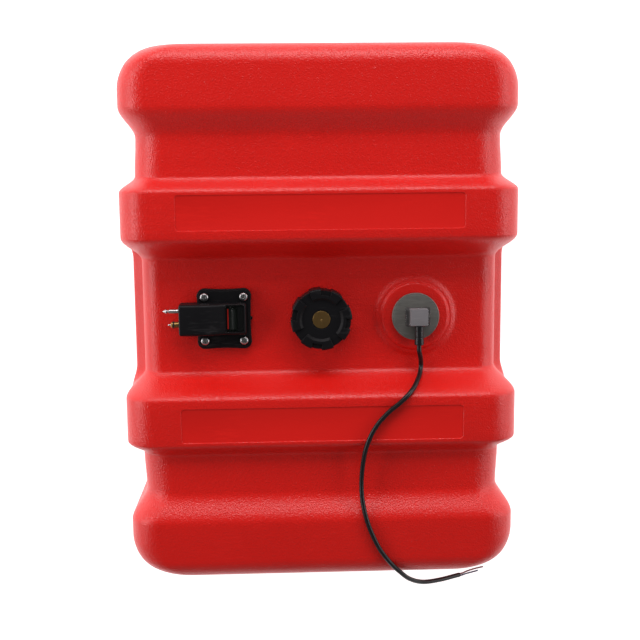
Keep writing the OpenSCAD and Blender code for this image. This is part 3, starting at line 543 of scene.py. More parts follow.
# %% [markdown]
# ## Materials
#
# Every finish starts from the same few steps: a base colour that wanders a
# little, a roughness that the scuffs raise, and a bump. What differs is written
# in one table: the colours, the gloss, the size of the grain. The gloss and the
# other fixed values sit on the shader's own sockets.

# %% The common steps
SCUFF_GREY, SCUFF_SHARE = 0.5, 0.25


def use_group(tree, group, **values):
    made = tree.nodes.new("ShaderNodeGroup")
    made.node_tree = group
    for label, value in values.items():
        made.inputs[label.replace("_", " ")].default_value = value
    return made


def finish(name, light, dark, roughness, depth, scale, centre=None, marks=0.0, **shader):
    """A material with moulded grain, or with turning marks where it has a centre.

    `scale` is bumps or rings per metre, `depth` the bump in metres, and `marks`
    how much the scuffs add to the roughness.
    """
    material = bpy.data.materials.new(name)
    material.use_nodes = True
    tree = material.node_tree
    paint = tree.nodes["Principled BSDF"]
    if centre is None:
        effect = use_group(tree, GRAIN, Bumps_per_metre=scale)
    else:
        effect = use_group(tree, TURNED, Centre=centre, Rings_per_metre=scale)
    scuffs = use_group(tree, MARKS)
    colour = add(tree, "Mix", {0: effect.outputs["Tone"]}, data_type="RGBA")
    colour.inputs[MIX_A].default_value = (*dark, 1)
    colour.inputs[MIX_B].default_value = (*light, 1)
    worn = add(tree, "Mix", {0: scuffs.outputs["Mask"]}, data_type="RGBA")
    tree.links.new(colour.outputs[MIX_OUT], worn.inputs[MIX_A])
    scuffed = [c + (SCUFF_GREY - c) * marks * SCUFF_SHARE for c in light]
    worn.inputs[MIX_B].default_value = (*scuffed, 1)
    rough = add(tree, "MapRange", {
        0: scuffs.outputs["Mask"], TO_MIN: roughness, TO_MAX: min(roughness + marks, 1.0)})
    bump = add(tree, "Bump", {
        "Height": effect.outputs["Height"], "Strength": 1.0, "Distance": depth})
    tree.links.new(worn.outputs[MIX_OUT], paint.inputs["Base Color"])
    tree.links.new(rough.outputs[0], paint.inputs["Roughness"])
    tree.links.new(bump.outputs[0], paint.inputs["Normal"])
    for label, value in shader.items():
        paint.inputs[label.replace("_", " ")].default_value = value
    return material


# %% [markdown]
# The red shell is polyethylene with a pebbled skin that breaks its highlights
# into sparks. The two sunk panels were polished in the mould, so the pebbles
# stop at their edges. A mask from the object's own coordinates does this: it
# multiplies the grain by one on the skin, and by a small share in the panels.

# %% Red shell
PANEL_L, PANEL_W, PANEL_DEPTH, PANEL_R = 331.0, 41.0, 0.8, 5.0
PANEL_Y = 123.6
PANEL_EDGE, PANEL_GRAIN = 0.6, 0.15


def panel_mask(tree):
    """One outside the two panels, the share of the grain that is left inside them."""
    axis = add(tree, "SeparateXYZ", {0: add(tree, "TexCoord").outputs["Object"]})
    along = maths(tree, "ABSOLUTE", axis.outputs["Y"])
    off = maths(tree, "ABSOLUTE", maths(tree, "SUBTRACT", along, PANEL_Y * MM))
    in_y = maths(tree, "LESS_THAN", off, (PANEL_W / 2 - PANEL_EDGE) * MM)
    across = maths(tree, "ABSOLUTE", axis.outputs["X"])
    in_x = maths(tree, "LESS_THAN", across, (PANEL_L / 2 - PANEL_EDGE) * MM)
    both = maths(tree, "MULTIPLY", in_y, in_x)
    return add(tree, "MapRange", {0: both, TO_MIN: 1.0, TO_MAX: PANEL_GRAIN}).outputs[0]


def red_shell():
    material = finish(
        "red_shell", light=(0.73, 0.010, 0.006), dark=(0.65, 0.007, 0.004),
        roughness=0.34, depth=0.0008, scale=760.0)
    tree = material.node_tree
    bump = tree.nodes["Bump"]
    height = bump.inputs["Height"].links[0].from_socket
    tree.links.new(maths(tree, "MULTIPLY", height, panel_mask(tree)), bump.inputs["Height"])
    return material


# %% The other finishes
def corners_of(node):
    """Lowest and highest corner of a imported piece, in millimetres."""
    return [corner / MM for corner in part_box(node)]


def centre_of(node):
    low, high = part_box(node)
    return tuple((low + high) / 2)


cap_centre = centre_of("vent_disc")
disc_centre = centre_of("sender_head")
RECIPES = {  # light and dark colour, roughness, bump in metres, bumps or rings per metre
    "black_plastic": (
        (0.008, 0.008, 0.009), (0.005, 0.005, 0.006), 0.42, 0.00006, 2600.0,
        dict(marks=0.1, Specular_IOR_Level=0.14)),
    "brass": (
        (0.34, 0.21, 0.075), (0.24, 0.145, 0.05), 0.40, 0.00004, 3200.0,
        dict(centre=cap_centre, Metallic=1.0)),
    "bright_steel": (
        (0.52, 0.52, 0.52), (0.42, 0.42, 0.42), 0.30, 0.00003, 3000.0,
        dict(centre=(0.0, 0.0, 0.0), Metallic=1.0)),
    "cast_zinc": (
        (0.23, 0.23, 0.21), (0.16, 0.16, 0.145), 0.50, 0.00006, 1800.0,
        dict(centre=disc_centre, Metallic=0.75)),
    "seal_rubber": (
        (0.015, 0.015, 0.016), (0.010, 0.010, 0.011), 0.72, 0.00010, 3000.0,
        dict(marks=0.1)),
    "white_plastic": (
        (0.74, 0.73, 0.68), (0.66, 0.65, 0.60), 0.42, 0.00005, 2500.0, dict(marks=0.1)),
    "float_foam": (
        (0.045, 0.045, 0.046), (0.022, 0.022, 0.023), 0.85, 0.0006, 900.0, {}),
    "drum_black": (
        (0.014, 0.020, 0.017), (0.008, 0.012, 0.010), 0.38, 0.00006, 2500.0, {}),
    # The stripe's emission is painted light: a faint glow that lifts the stripe out of the shade
    # under the window, though it is no lamp.
    "stripe_red": (
        (0.80, 0.02, 0.02), (0.66, 0.015, 0.015), 0.40, 0.00004, 2500.0,
        dict(Emission_Color=(1.0, 0.03, 0.02, 1), Emission_Strength=0.22)),
    "magnet_grey": (
        (0.30, 0.29, 0.30), (0.23, 0.225, 0.235), 0.50, 0.00006, 2600.0, {}),
    "lead_black": (
        (0.010, 0.010, 0.011), (0.006, 0.006, 0.007), 0.32, 0.00004, 2200.0,
        dict(Specular_IOR_Level=0.35)),
    "wire_red": (
        (0.20, 0.010, 0.012), (0.14, 0.008, 0.010), 0.38, 0.00003, 3000.0, {}),
    "wire_blue": (
        (0.012, 0.016, 0.085), (0.008, 0.010, 0.055), 0.38, 0.00003, 3000.0, {}),
    "dark_window": (
        (0.010, 0.013, 0.011), (0.007, 0.010, 0.008), 0.08, 0.00001, 400.0,
        dict(Alpha=0.16, Specular_IOR_Level=0.3)),
    "clear_plastic": (
        (0.16, 0.15, 0.155), (0.12, 0.11, 0.115), 0.08, 0.00002, 500.0,
        dict(Alpha=0.26, Specular_IOR_Level=0.8)),
}
FINISHES = {"red_shell": red_shell()}
for name, (*recipe, more) in RECIPES.items():
    FINISHES[name] = finish(name, *recipe, **more)
print("materials:", ", ".join(FINISHES))

# %% [markdown]
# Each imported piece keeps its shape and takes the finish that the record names
# for it. Pieces made below ride on a body, stand for the piece that they
# replace, and take their finish from the same table.

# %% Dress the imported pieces
slots = {part["node"]: part["material_slot"] for part in frame["record"]["subparts"]}


def paint(piece, slot):
    piece.data.materials.clear()
    piece.data.materials.append(FINISHES[slot])


def seat(piece, body, *replaced, slot=None):
    """Rides on a body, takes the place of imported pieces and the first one's finish."""
    slot = slot or slots[replaced[0]]
    paint(piece, slot)
    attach(piece, body)
    if replaced:
        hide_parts(*replaced)
    print(piece.name + ":", len(piece.data.polygons), "faces")


for name, piece in nodes.items():
    paint(piece, slots[name])
    shade(piece, 30)
for cord, slot in ((lead, "lead_black"), (red_core, "wire_red"), (blue_core, "wire_blue")):
    paint(cord, slot)
print("dressed", len(nodes), "packed pieces")

# %% [markdown]
# ## The shell
#
# The real shell has one smooth skin: four bands, a groove between the outer
# ones, and a sunk deck. It could be sculpted, but then its edges would drift
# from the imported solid. It is lofted instead. One function gives the section at
# any place along the tank, with the same radii as the solid, and the loft runs
# through far more sections than the solid has, so that highlights flow.

# %% Sizes of the shell, in millimetres
shell_low, shell_high = corners_of("tank_body")
LENGTH = shell_high.y - shell_low.y
WIDTH = shell_high.x - shell_low.x
HEIGHT = shell_high.z
DECK_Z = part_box("flange_gasket")[0].z / MM
DECK_DROP = HEIGHT - DECK_Z
WALL = 4.0
CORNER_R, TOP_R, END_R, BASE_R = 51.0, 36.0, 24.0, 18.0
DECK_HALF, DECK_SLOPE, DECK_INSET = 65.0, 30.0, 20.0
SHOULDER_INSET, SHOULDER_Z, SHOULDER_H = 6.0, 124.0, 16.0
CROWN_A = DECK_HALF + DECK_SLOPE
CROWN_B = CROWN_A + 51.0
GROOVE_A = CROWN_B + 19.0
GROOVE_B = GROOVE_A + 43.0
END_BAND = GROOVE_B + 36.0
GROOVE_DROP, GROOVE_INSET, END_INSET = 16.0, 17.0, 2.0
SLOPE_SHIFT = 0.6
BASE_STEPS, TOP_STEPS = 6, 8
print("shell", [round(s, 1) for s in (WIDTH, LENGTH, HEIGHT)], "deck at", round(DECK_Z, 2))


# %% Section of the shell
def drawn_in(d, r):
    """How far a corner of radius r draws a face in, at a distance d from its end."""
    return 0.0 if d >= r else r - math.sqrt(max(r * r - (r - d) ** 2, 0.0))


def half_section(y, t, n):
    """Right half of the section at y, from the middle of the base to the middle of the top."""
    deck = 1 - ease((y - DECK_HALF - SLOPE_SHIFT * t) / DECK_SLOPE)
    groove = ease((y - CROWN_B + SLOPE_SHIFT * t) / (GROOVE_A - CROWN_B))
    groove *= 1 - ease((y - GROOVE_B - SLOPE_SHIFT * t) / (END_BAND - GROOVE_B))
    end = ease((y - GROOVE_A) / (GROOVE_B - GROOVE_A))
    to_end = LENGTH / 2 - t - y
    side = WIDTH / 2 - t - drawn_in(to_end, CORNER_R - t)
    side = side - GROOVE_INSET * groove - END_INSET * end
    low, high = side - SHOULDER_INSET * deck, side - DECK_INSET * deck
    base = t + drawn_in(to_end, BASE_R - t)
    top = HEIGHT - t - drawn_in(to_end, END_R - t) - GROOVE_DROP * groove - DECK_DROP * deck
    rb, rt = BASE_R - t, TOP_R - t - (TOP_R - END_R) * deck
    turns = [math.radians(90 * i / n) for i in range(n + 1)]
    section = [((low - rb) * k / BASE_STEPS, base) for k in range(BASE_STEPS)]
    section += [(low - rb * (1 - math.sin(a)), base + rb * (1 - math.cos(a))) for a in turns]
    section += [(low + (high - low) * ease(i / n), SHOULDER_Z + SHOULDER_H * i / n)
                for i in range(n + 1)]
    section += [(high - rt * (1 - math.cos(a)), top - rt * (1 - math.sin(a))) for a in turns]
    section += [((high - rt) * (1 - k / TOP_STEPS), top) for k in range(1, TOP_STEPS + 1)]
    return section


def stations(t, n):
    """Places along one half of the tank, close together wherever the skin bends."""
    shift = SLOPE_SHIFT * t
    stops = [
        (0, 5), (DECK_HALF + shift, n), (CROWN_A + shift, 5), (CROWN_B - shift, n),
        (GROOVE_A - shift, 4), (GROOVE_B + shift, n), (END_BAND + shift, 2),
        (LENGTH / 2 - CORNER_R, 0)]
    places = []
    for (a, steps), (b, _) in zip(stops, stops[1:]):
        places += [a + (b - a) * i / steps for i in range(steps)]
    turns = [math.radians(90 * i / (2 * n)) for i in range(2 * n + 1)]
    return places + [LENGTH / 2 - t - (CORNER_R - t) * (1 - math.sin(a)) for a in turns]


def skin(name, t, n):
    """The tank's closed skin, drawn in by t on every side; n sets how fine it is."""
    half = stations(t, n)
    rows = []
    for y in [-y for y in half[:0:-1]] + half:
        section = half_section(abs(y), t, n)
        rows.append([(x, y, z) for x, z in section] + [(-x, y, z) for x, z in section[-2:0:-1]])
    return loft(name, rows)


# %% [markdown]
# A raised ring stands round the sender, and a threaded neck carries the cap.
# Both are turned forms joined to the skin. The holes, the screw bosses and the
# two shallow panels are then cut, so the shell is hollow and open where the
# real one is. The panels' walls slope, which is what draws their thin outline.

# %% Boss, neck and cuts
ROW_Y = centre_of("vent_disc")[1] / MM
SENDER_X = centre_of("sender_head")[0] / MM
GAUGE_X = centre_of("flange_gasket")[0] / MM
NECK_R, NECK_BORE, NECK_H = 28.0, 22.5, 20.0
GAUGE_HOLE_R, SENDER_HOLE_R = 24.0, 21.0
INSERT_R, INSERT_DEEP = 3.5, 9.0
INSERT_BOSS_R, INSERT_BOSS_DEEP = 7.0, 11.5
THROUGH, CLEAR = 8.0, 2.0  # past the wall below the deck, and above a face


def sender_boss():
    line = rounded([
        (0, -2, 0), (53, -2, 0), (52, 0.0, 0), (49.2, 0.3, 2.6), (44.0, 3.0, 3.2),
        (41.0, 3.2, 1.2), (39.0, 5.9, 2.2), (35, 6.0, 0), (0, 6.0, 0)], steps=6)
    return turned("boss", line, (SENDER_X, ROW_Y, DECK_Z), steps=160)


def filler_neck():
    line = rounded([
        (0, -2, 0), (32.5, -2, 0), (32, 0, 0), (NECK_R, 0.4, 1.4), (NECK_R, NECK_H, 1.0),
        (0, NECK_H, 0)])
    return turned("neck", line, (0, ROW_Y, DECK_Z), steps=160)


def panel_cutter(y):
    levels = [
        (-PANEL_DEPTH, 0.9), (-PANEL_DEPTH * 0.85, 0.55), (-0.15, 0.1), (0, 0), (CLEAR, 0)]
    return slab("panel", boxed(PANEL_L, PANEL_W, PANEL_R, 10), levels, (0, y, HEIGHT))


def drill(x, y, z0, z1, r):
    return turned("drill", [(0, z0), (r, z0), (r, z1), (0, z1)], (x, y, 0), steps=96)


# %% Build the shell
def screw_places():
    """Middles of the four screws, in millimetres."""
    low, high = corners_of("threaded_inserts")
    ys = (low.y + INSERT_R, high.y - INSERT_R)
    return [(x, y) for x in (low.x + INSERT_R, high.x - INSERT_R) for y in ys]


def tank_shell():
    shell = skin("tank_shell", 0.0, 16)
    combine(shell, sender_boss(), "UNION")
    combine(shell, filler_neck(), "UNION")
    cavity = skin("cavity", WALL, 8)
    for x, y in screw_places():
        combine(cavity, drill(x, y, DECK_Z - INSERT_BOSS_DEEP, DECK_Z + CLEAR, INSERT_BOSS_R))
    combine(shell, cavity)
    for x, rise, r in (
        (0, NECK_H + CLEAR, NECK_BORE), (GAUGE_X, 3, GAUGE_HOLE_R), (SENDER_X, 9, SENDER_HOLE_R),
    ):
        combine(shell, drill(x, ROW_Y, DECK_Z - THROUGH, DECK_Z + rise, r))
    for x, y in screw_places():
        combine(shell, drill(x, y, DECK_Z - INSERT_DEEP, DECK_Z + CLEAR, INSERT_R))
    for y in (PANEL_Y, -PANEL_Y):
        combine(shell, panel_cutter(y))
    return shade(shell, 28)


seat(tank_shell(), "tank", "tank_body")

# %% [markdown]
# ## The filler cap
#
# The cap has four raised grips with an open notch in each, a narrow chamfer
# round the top, and a sunk middle with a brass vent disc. The notches run on
# down the skirt as flutes. It could be cut with Booleans, but its edges are all
# soft. It is made as a height map in polar form: for each angle and radius a
# short function gives the height of the top, and the skirt follows it.

# %% Top of the cap
CAP_LOW, CAP_HIGH = corners_of("filler_cap")
CAP_R = (CAP_HIGH.x - CAP_LOW.x) / 2
BODY_R = CAP_R - 1.6
CAP_TOP = CAP_HIGH.z
FACE_Z = CAP_TOP - 2.6
PLATE_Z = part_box("vent_cage")[1].z / MM
GRIP_START, GRIP_SPAN, GRIP_INNER, GRIP_SLOPE = 80.0, 67.0, 25.5, 2.6
GRIP_EARLY, GRIP_EASE = 0.8, 1.8  # degrees
NOTCH_HALF, NOTCH_FROM, NOTCH_DEPTH, NOTCH_IN, NOTCH_EASE = 6.2, 28.8, 2.0, 1.5, 0.6
BEVEL_FROM, BEVEL_LIFT = 34.2, 0.2
EDGE_WIDE, EDGE_SLOPE, EDGE_LIFT = 0.7, 0.9, 0.1
GRIP_LEAST = 0.02


def from_grip(a):
    """Angle in degrees from the middle of the nearest grip."""
    return abs((a - GRIP_START + 45) % 90 - 45)


def grip_share(a):
    return 1 - ease((from_grip(a) - GRIP_SPAN / 2 + GRIP_EARLY) / GRIP_EASE)


def notch_share(r, a):
    """One in the notch in a grip's middle, nought beside it."""
    aside = r * math.sin(math.radians(from_grip(a)))
    return 1 - ease((aside - NOTCH_HALF + NOTCH_EASE / 2) / NOTCH_EASE)


def rim(a):
    return BODY_R + (CAP_R - BODY_R) * grip_share(a) - NOTCH_IN * notch_share(CAP_R, a)


def top_height(r, a):
    """Grips with sloped inner faces and notches, under a bevel, or a soft edge between."""
    share = grip_share(a)
    z = FACE_Z + (CAP_TOP - FACE_Z) * share * min(max((r - GRIP_INNER) / GRIP_SLOPE + 1, 0), 1)
    z -= NOTCH_DEPTH * ease((r - NOTCH_FROM + NOTCH_EASE / 2) / NOTCH_EASE) * notch_share(r, a)
    bevel = CAP_TOP + BEVEL_LIFT - (r - BEVEL_FROM)
    soft = FACE_Z + EDGE_LIFT - max(r - BODY_R + EDGE_WIDE, 0) * EDGE_SLOPE
    return min(z, bevel if share > GRIP_LEAST else soft)


# %% Build the cap
VENT_R, DISC_SEAT_R, DISC_SEAT_DEEP = 6.0, 10.35, 1.1
FACE_RADII = [10.75, 13, 18] + [22.6 + 0.3 * i for i in range(38)]
RIM_FROM, RIM_STEPS = 34.0, 8
SKIRT_CLEAR = 0.6


def cap_column(a, bore):
    """Section of the cap at the angle a, as a closed line of (r, z)."""
    edge = rim(a)
    recess = FACE_Z - DISC_SEAT_DEEP
    radii = FACE_RADII + [
        RIM_FROM + (edge - RIM_FROM) * k / RIM_STEPS for k in range(1, RIM_STEPS + 1)]
    line = [
        (VENT_R, PLATE_Z), (VENT_R, recess), (DISC_SEAT_R, recess),
        (DISC_SEAT_R + 0.05, FACE_Z - 0.3)]
    line += [(r, top_height(r, a)) for r in radii]
    low = CAP_LOW.z
    last = line[-1][1]
    line += [
        (edge, last - 0.5), (edge, low + 6), (edge, low + 1.2), (edge - 0.35, low + 0.35),
        (edge - 1.2, low)]
    line += [(bore + 0.8, low), (bore, low + 0.8), (bore, PLATE_Z - 1), (bore, PLATE_Z)]
    return line


def filler_cap(steps=720):
    bore = NECK_R + SKIRT_CLEAR
    columns = [cap_column(360 * j / steps, bore) for j in range(steps)]
    m = len(columns[0])
    points, faces = [], []
    for j, column in enumerate(columns):
        a = 2 * math.pi * j / steps
        points += [(r * math.cos(a), ROW_Y + r * math.sin(a), z) for r, z in column]
    for j in range(steps):
        k = (j + 1) % steps
        for i in range(m):
            n = (i + 1) % m
            faces.append((j * m + i, j * m + n, k * m + n, k * m + i))
    return shade(mesh_piece("cap", points, faces), 50)


seat(filler_cap(), "cap", "filler_cap")

# %% Brass disc in the cap
def vent_disc():
    low, high = corners_of("vent_disc")
    r, t = (high.x - low.x) / 2, high.z - low.z
    line = rounded([
        (0, 0, 0), (r, 0, 0), (r, t, 0.35), (0.9, t, 0.2), (0.4, t - 0.4, 0.1),
        (0, t - 0.5, 0)])
    return shade(turned("brass_disc", line, (0, ROW_Y, low.z), steps=96), 40)


seat(vent_disc(), "cap", "vent_disc")

# %% [markdown]
# ## Thread of the filler neck
#
# Under the cap the neck carries a coarse thread, six millimetres a turn. It
# comes into view when the cap is lifted. A thread can be made with the Screw
# modifier, but its ends would stay blunt. This one is a small wedge carried
# along a helix, and it sinks into the neck at both ends.

# %% Neck thread
THREAD_PITCH, THREAD_TURNS, THREAD_PROUD = 6.0, 2.0, 0.42
THREAD_FROM, THREAD_RUNOUT = 4.5, 14  # millimetres over the deck, steps at each end


def neck_thread(steps=96):
    rows = []
    count = int(THREAD_TURNS * steps)
    for i in range(count + 1):
        a = 2 * math.pi * i / steps
        z = DECK_Z + THREAD_FROM + THREAD_PITCH * i / steps
        proud = THREAD_PROUD * ease(min(i, count - i) / THREAD_RUNOUT)
        wedge = [(-0.3, -1.3), (proud, -0.5), (proud, 0.5), (-0.3, 1.3)]
        rows.append([
            ((NECK_R + r) * math.cos(a), ROW_Y + (NECK_R + r) * math.sin(a), z + h)
            for r, h in wedge])
    return shade(loft("neck_thread", rows), 40)


seat(neck_thread(), "tank", slot="red_shell")

# %% [markdown]
# ## The gauge head
#
# A black flange with hollow edges carries a block: tall where the fuel
# connector stands, then a slope down to the window. It is one moulding, so it
# is built as one: the flange is a slab, the block is a loft of sections that
# share one pair of round shoulders, and the window's seat, the drum's room and
# the bores are cut from both together. A bevel modifier would round every edge
# alike, where the real shoulders are twice as round as the ends.

# %% Sizes of the gauge head
HEAD_LOW, HEAD_HIGH = corners_of("gauge_housing")
FLANGE_X, FLANGE_Y, FLANGE_R, FLANGE_WAIST = 64.0, 72.0, 9.0, 1.0
FLANGE_Z = DECK_Z + 1.5
FLANGE_TOP = FLANGE_Z + 6.0
HEAD_Y, HEAD_W, SHOULDER_R = ROW_Y + 1.0, 37.0, 4.0
TALL_Z, SHORT_Z = HEAD_HIGH.z, DECK_Z + 21.0
BLOCK_X0 = HEAD_LOW.x
BLOCK_X1 = BLOCK_X0 + 78.0
FOOT_X = GAUGE_X - 30.0
DRUM_X, DRUM_Z = GAUGE_X + 9.6, DECK_Z + 11.0
SLOPE_FROM, SLOPE_TO = GAUGE_X - 17.0, DRUM_X - 9.0
PINS_Z = DECK_Z + 16.0
print("gauge head from", round(BLOCK_X0, 1), "to", round(BLOCK_X1, 1))


# %% Flange and block
def flange_outline(inset):
    """Four round corners joined by shallow hollow edges."""
    arc, steps = 8, 10
    corners = [Vector(p) for p in round_box(FLANGE_X, FLANGE_Y, FLANGE_R, inset, arc)]
    line = []
    for c in range(4):
        line += corners[c * (arc + 1):(c + 1) * (arc + 1)]
        a, b = line[-1], corners[(c + 1) * (arc + 1) % len(corners)]
        way = (b - a).normalized()
        for k in range(1, steps):
            t = k / steps
            line.append(a.lerp(b, t) + FLANGE_WAIST * 4 * t * (1 - t) * Vector((-way.y, way.x)))
    return line


def fall(x):
    """Nought on the tall end, one on the window end, and a slope with soft ends between."""
    t = (x - SLOPE_FROM) / (SLOPE_TO - SLOPE_FROM)
    return sum(min(max(t + shift, 0), 1) for shift in (-0.06, -0.03, 0, 0.03, 0.06)) / 5


def block_section(x, low, inset):
    half = HEAD_W / 2 - inset
    top = TALL_Z - (TALL_Z - SHORT_Z) * fall(x) - inset
    side = [(half, low)]
    for k in range(9):
        a = math.radians(90 * k / 8)
        side.append((
            half - SHOULDER_R + SHOULDER_R * math.cos(a),
            top - SHOULDER_R + SHOULDER_R * math.sin(a)))
    left = [(x, HEAD_Y + y, z) for y, z in side]
    return left + [(x, HEAD_Y - y, z) for y, z in reversed(side)]


def head_block():
    rounding = [(0, 1.8), (0.3, 1.0), (0.8, 0.4), (1.4, 0.1), (2.0, 0)]
    slope = [SLOPE_FROM - 1.5 + (SLOPE_TO - SLOPE_FROM + 3) * k / 24 for k in range(25)]
    low, foot = DECK_Z + 3.0, FLANGE_Z + 1.0
    rows = [block_section(BLOCK_X0 + d, low, inset) for d, inset in rounding]
    rows += [block_section(FOOT_X, low, 0), block_section(FOOT_X + 0.01, foot, 0)]
    rows += [block_section(x, foot, 0) for x in slope]
    rows += [block_section(BLOCK_X1 - d, foot, inset) for d, inset in reversed(rounding)]
    return loft("block", rows)


def rod(place, axis, r, length):
    line = [(0, 0), (r, 0), (r, length), (0, length)]
    return turned("rod", line, place, axis=axis, steps=48)


def tube(x, y, outer, inner, z0, z1):
    line = [(inner, z0), (outer, z0), (outer, z1), (inner, z1)]
    return turned("tube", line, (x, y, 0), closed=True)


# %% Cuts in the gauge head
ALONG_X, ALONG_Y, UP = (1, 0, 0), (0, 1, 0), (0, 0, 1)
WINDOW_Z = DECK_Z + 18.4
WINDOW_AT = (DRUM_X + 3.2, ROW_Y + 2.0, WINDOW_Z)
WINDOW_SIZE = (21.4, 32.0, 2.0)  # two sides and the corners' radius
PORT_X, PORT_Y = GAUGE_X - 8, ROW_Y - 7
POST_Y, GUIDE_Y = ROW_Y - 5, ROW_Y + 11
POST_R, GUIDE_R, PIN_DEEP = 2.8, 1.9, 13.0
PASSAGE_R, PASSAGE_FROM = 2.4, BLOCK_X0 + 6
SOCKET_R, SOCKET_DEEP = 4.0, 7.0
SPINDLE_HOLE_R, SCREW_HOLE_R = 1.26, 2.8
DRUM_ROOM = (6.7, 14.9)  # half its width and half its length


def box_tool(x0, x1, y0, y1, z0, z1):
    middle = ((x0 + x1) / 2, (y0 + y1) / 2, 0)
    return slab("tool", boxed(x1 - x0, y1 - y0, 0.5, 3), [(z0, 0), (z1, 0)], middle)


def gauge_head():
    levels = [
        (0, 0.3), (0.3, 0), (4.7, 0), (5.3, 0.2), (5.65, 0.7), (5.7, 1.9), (5.8, 2.15), (6.0, 2.3)]
    head = slab("gauge_head", flange_outline, levels, (GAUGE_X, ROW_Y, FLANGE_Z))
    catch = rounded([(0, 0, 0), (2.4, 0, 0), (2.4, 4.0, 0.7), (0, 4.0, 0)])
    for added in (
        head_block(),
        tube(GAUGE_X, ROW_Y, 23.7, 21.5, DECK_Z - 6, FLANGE_Z + 0.5),
        rod((PORT_X, PORT_Y, DECK_Z - 6), UP, 6.0, 8.0),
        turned("catch", catch, (GAUGE_X + 30.8, ROW_Y, FLANGE_Z), steps=48),
    ):
        combine(head, added, "UNION")
    half_x, half_y = DRUM_ROOM
    port = (PORT_X, PORT_Y, DECK_Z - SOCKET_DEEP)
    seat_levels = [(0, 0), (1.9, 0), (2.6, -0.45), (6, -0.45)]
    for cut in (
        slab("window_seat", boxed(*WINDOW_SIZE, 6), seat_levels, WINDOW_AT),
        box_tool(
            DRUM_X - half_x, DRUM_X + half_x, HEAD_Y - half_y, HEAD_Y + half_y,
            DECK_Z + 4, WINDOW_Z + 1),
        rod((DRUM_X, HEAD_Y - 16.7, DRUM_Z), ALONG_Y, SPINDLE_HOLE_R, 33.4),
        box_tool(
            DRUM_X - 7.3, DRUM_X + 1, HEAD_Y + 11.9, HEAD_Y + 14.5, DECK_Z, DECK_Z + 5),
        rod((BLOCK_X0 - 1, POST_Y, PINS_Z), ALONG_X, POST_R, PIN_DEEP),
        rod((PASSAGE_FROM, POST_Y, PINS_Z), ALONG_X, PASSAGE_R, PORT_X - PASSAGE_FROM),
        rod(port, UP, PASSAGE_R, PINS_Z - DECK_Z + SOCKET_DEEP),
        rod(port, UP, SOCKET_R, SOCKET_DEEP),
        rod((BLOCK_X0 - 1, GUIDE_Y, PINS_Z), ALONG_X, GUIDE_R, PIN_DEEP),
    ):
        combine(head, cut)
    for x, y in screw_places():
        combine(head, drill(x, y, DECK_Z, FLANGE_TOP + CLEAR, SCREW_HOLE_R))
    return shade(head, 32)


seat(gauge_head(), "tank", "gauge_housing")

# %% Window
def window():
    levels = [(0, 0.3), (1.0, 0.3), (1.4, 0.6)]
    return shade(slab("window", boxed(*WINDOW_SIZE, 6), levels, WINDOW_AT), 30)


seat(window(), "tank", "gauge_lens")

# %% [markdown]
# ## The drum behind the window
#
# The float turns this drum, and its red stripe shows the level. The dark part
# has fine lengthwise ribs, which show as green-black lines through the window.
# Its outline is a formula: a shallow wave round the drum, flat where the
# stripe is let in. The outline is then drawn out along the drum's axis.

# %% Ribbed drum
DRUM_R, DRUM_Y0, DRUM_L = 6.2, ROW_Y - 11.6, 24.6
DRUM_TILT = 56  # the drum's turn at rest, in degrees
STRIPE_AT = math.radians(90 + DRUM_TILT)
FLAT_R, FLAT_HALF = 5.4, 8.0
RIBS, RIB_HALF = 24, 0.24
CRANK_R = 4.2


def ribbed_drum():
    outline = [(FLAT_R, -FLAT_HALF), (FLAT_R, 0.0), (FLAT_R, FLAT_HALF)]
    outline += [(DRUM_R - RIB_HALF + RIB_HALF * math.cos(math.radians(a * RIBS)), a)
                for a in (FLAT_HALF + 2.5 * k for k in range(138))]
    rows = []
    for y in (DRUM_Y0, DRUM_Y0 + DRUM_L):
        angles = [(r, STRIPE_AT + math.radians(a)) for r, a in outline]
        rows.append([(DRUM_X + r * math.cos(a), y, DRUM_Z + r * math.sin(a)) for r, a in angles])
    tilt = math.radians(DRUM_TILT)
    crank = Vector((
        DRUM_X - CRANK_R * math.cos(tilt), DRUM_Y0 + DRUM_L - 0.1,
        DRUM_Z - CRANK_R * math.sin(tilt)))
    spindle = rod((DRUM_X, HEAD_Y - 16.3, DRUM_Z), ALONG_Y, 1.2, 32.6)
    return shade(join("drum", [loft("ribs", rows), spindle, rod(crank, ALONG_Y, 1.0, 2.4)]), 30)


seat(ribbed_drum(), "indicator", "indicator_drum")

# %% [markdown]
# ## The four screws
#
# Stainless pan heads with a cross recess hold the flange. The recess tapers, as
# its driver does, and each screw stopped at another angle when it was driven,
# which is why the four crosses don't line up.

# %% Screws
SCREW_TURNS = (14.0, 62.0, 38.0, 81.0)
SCREW_HIGH = 3.4
RECESS_ENDS = ((-1.9, 1.5, 0.45), (0.6, 2.9, 0.8))  # height, half length, half width


def recess(x, y, z, turn):
    c, s = math.cos(math.radians(turn)), math.sin(math.radians(turn))
    cut = []
    for h, half_l, half_w in RECESS_ENDS:
        corners = [(half_l, half_w), (-half_l, half_w), (-half_l, -half_w), (half_l, -half_w)]
        cut.append([(x + u * c - v * s, y + u * s + v * c, z + h) for u, v in corners])
    return loft("recess", cut)


def pan_screw(x, y, turn):
    line = rounded([
        (0, -13.5, 0), (1.6, -13.5, 0), (2.45, -12.4, 0), (2.45, 0, 0), (5, 0, 0.2),
        (5, 1.5, 0.5), (4.2, 2.7, 1.2), (2.4, 3.25, 1.0), (0, SCREW_HIGH, 0)])
    screw = turned("screw", line, (x, y, FLANGE_TOP), steps=64)
    for corner in (0, 90):
        combine(screw, recess(x, y, FLANGE_TOP + SCREW_HIGH, turn + corner))
    return screw


parts = [pan_screw(x, y, turn) for (x, y), turn in zip(screw_places(), SCREW_TURNS)]
seat(shade(join("screws", parts), 35), "tank", "flange_screws")

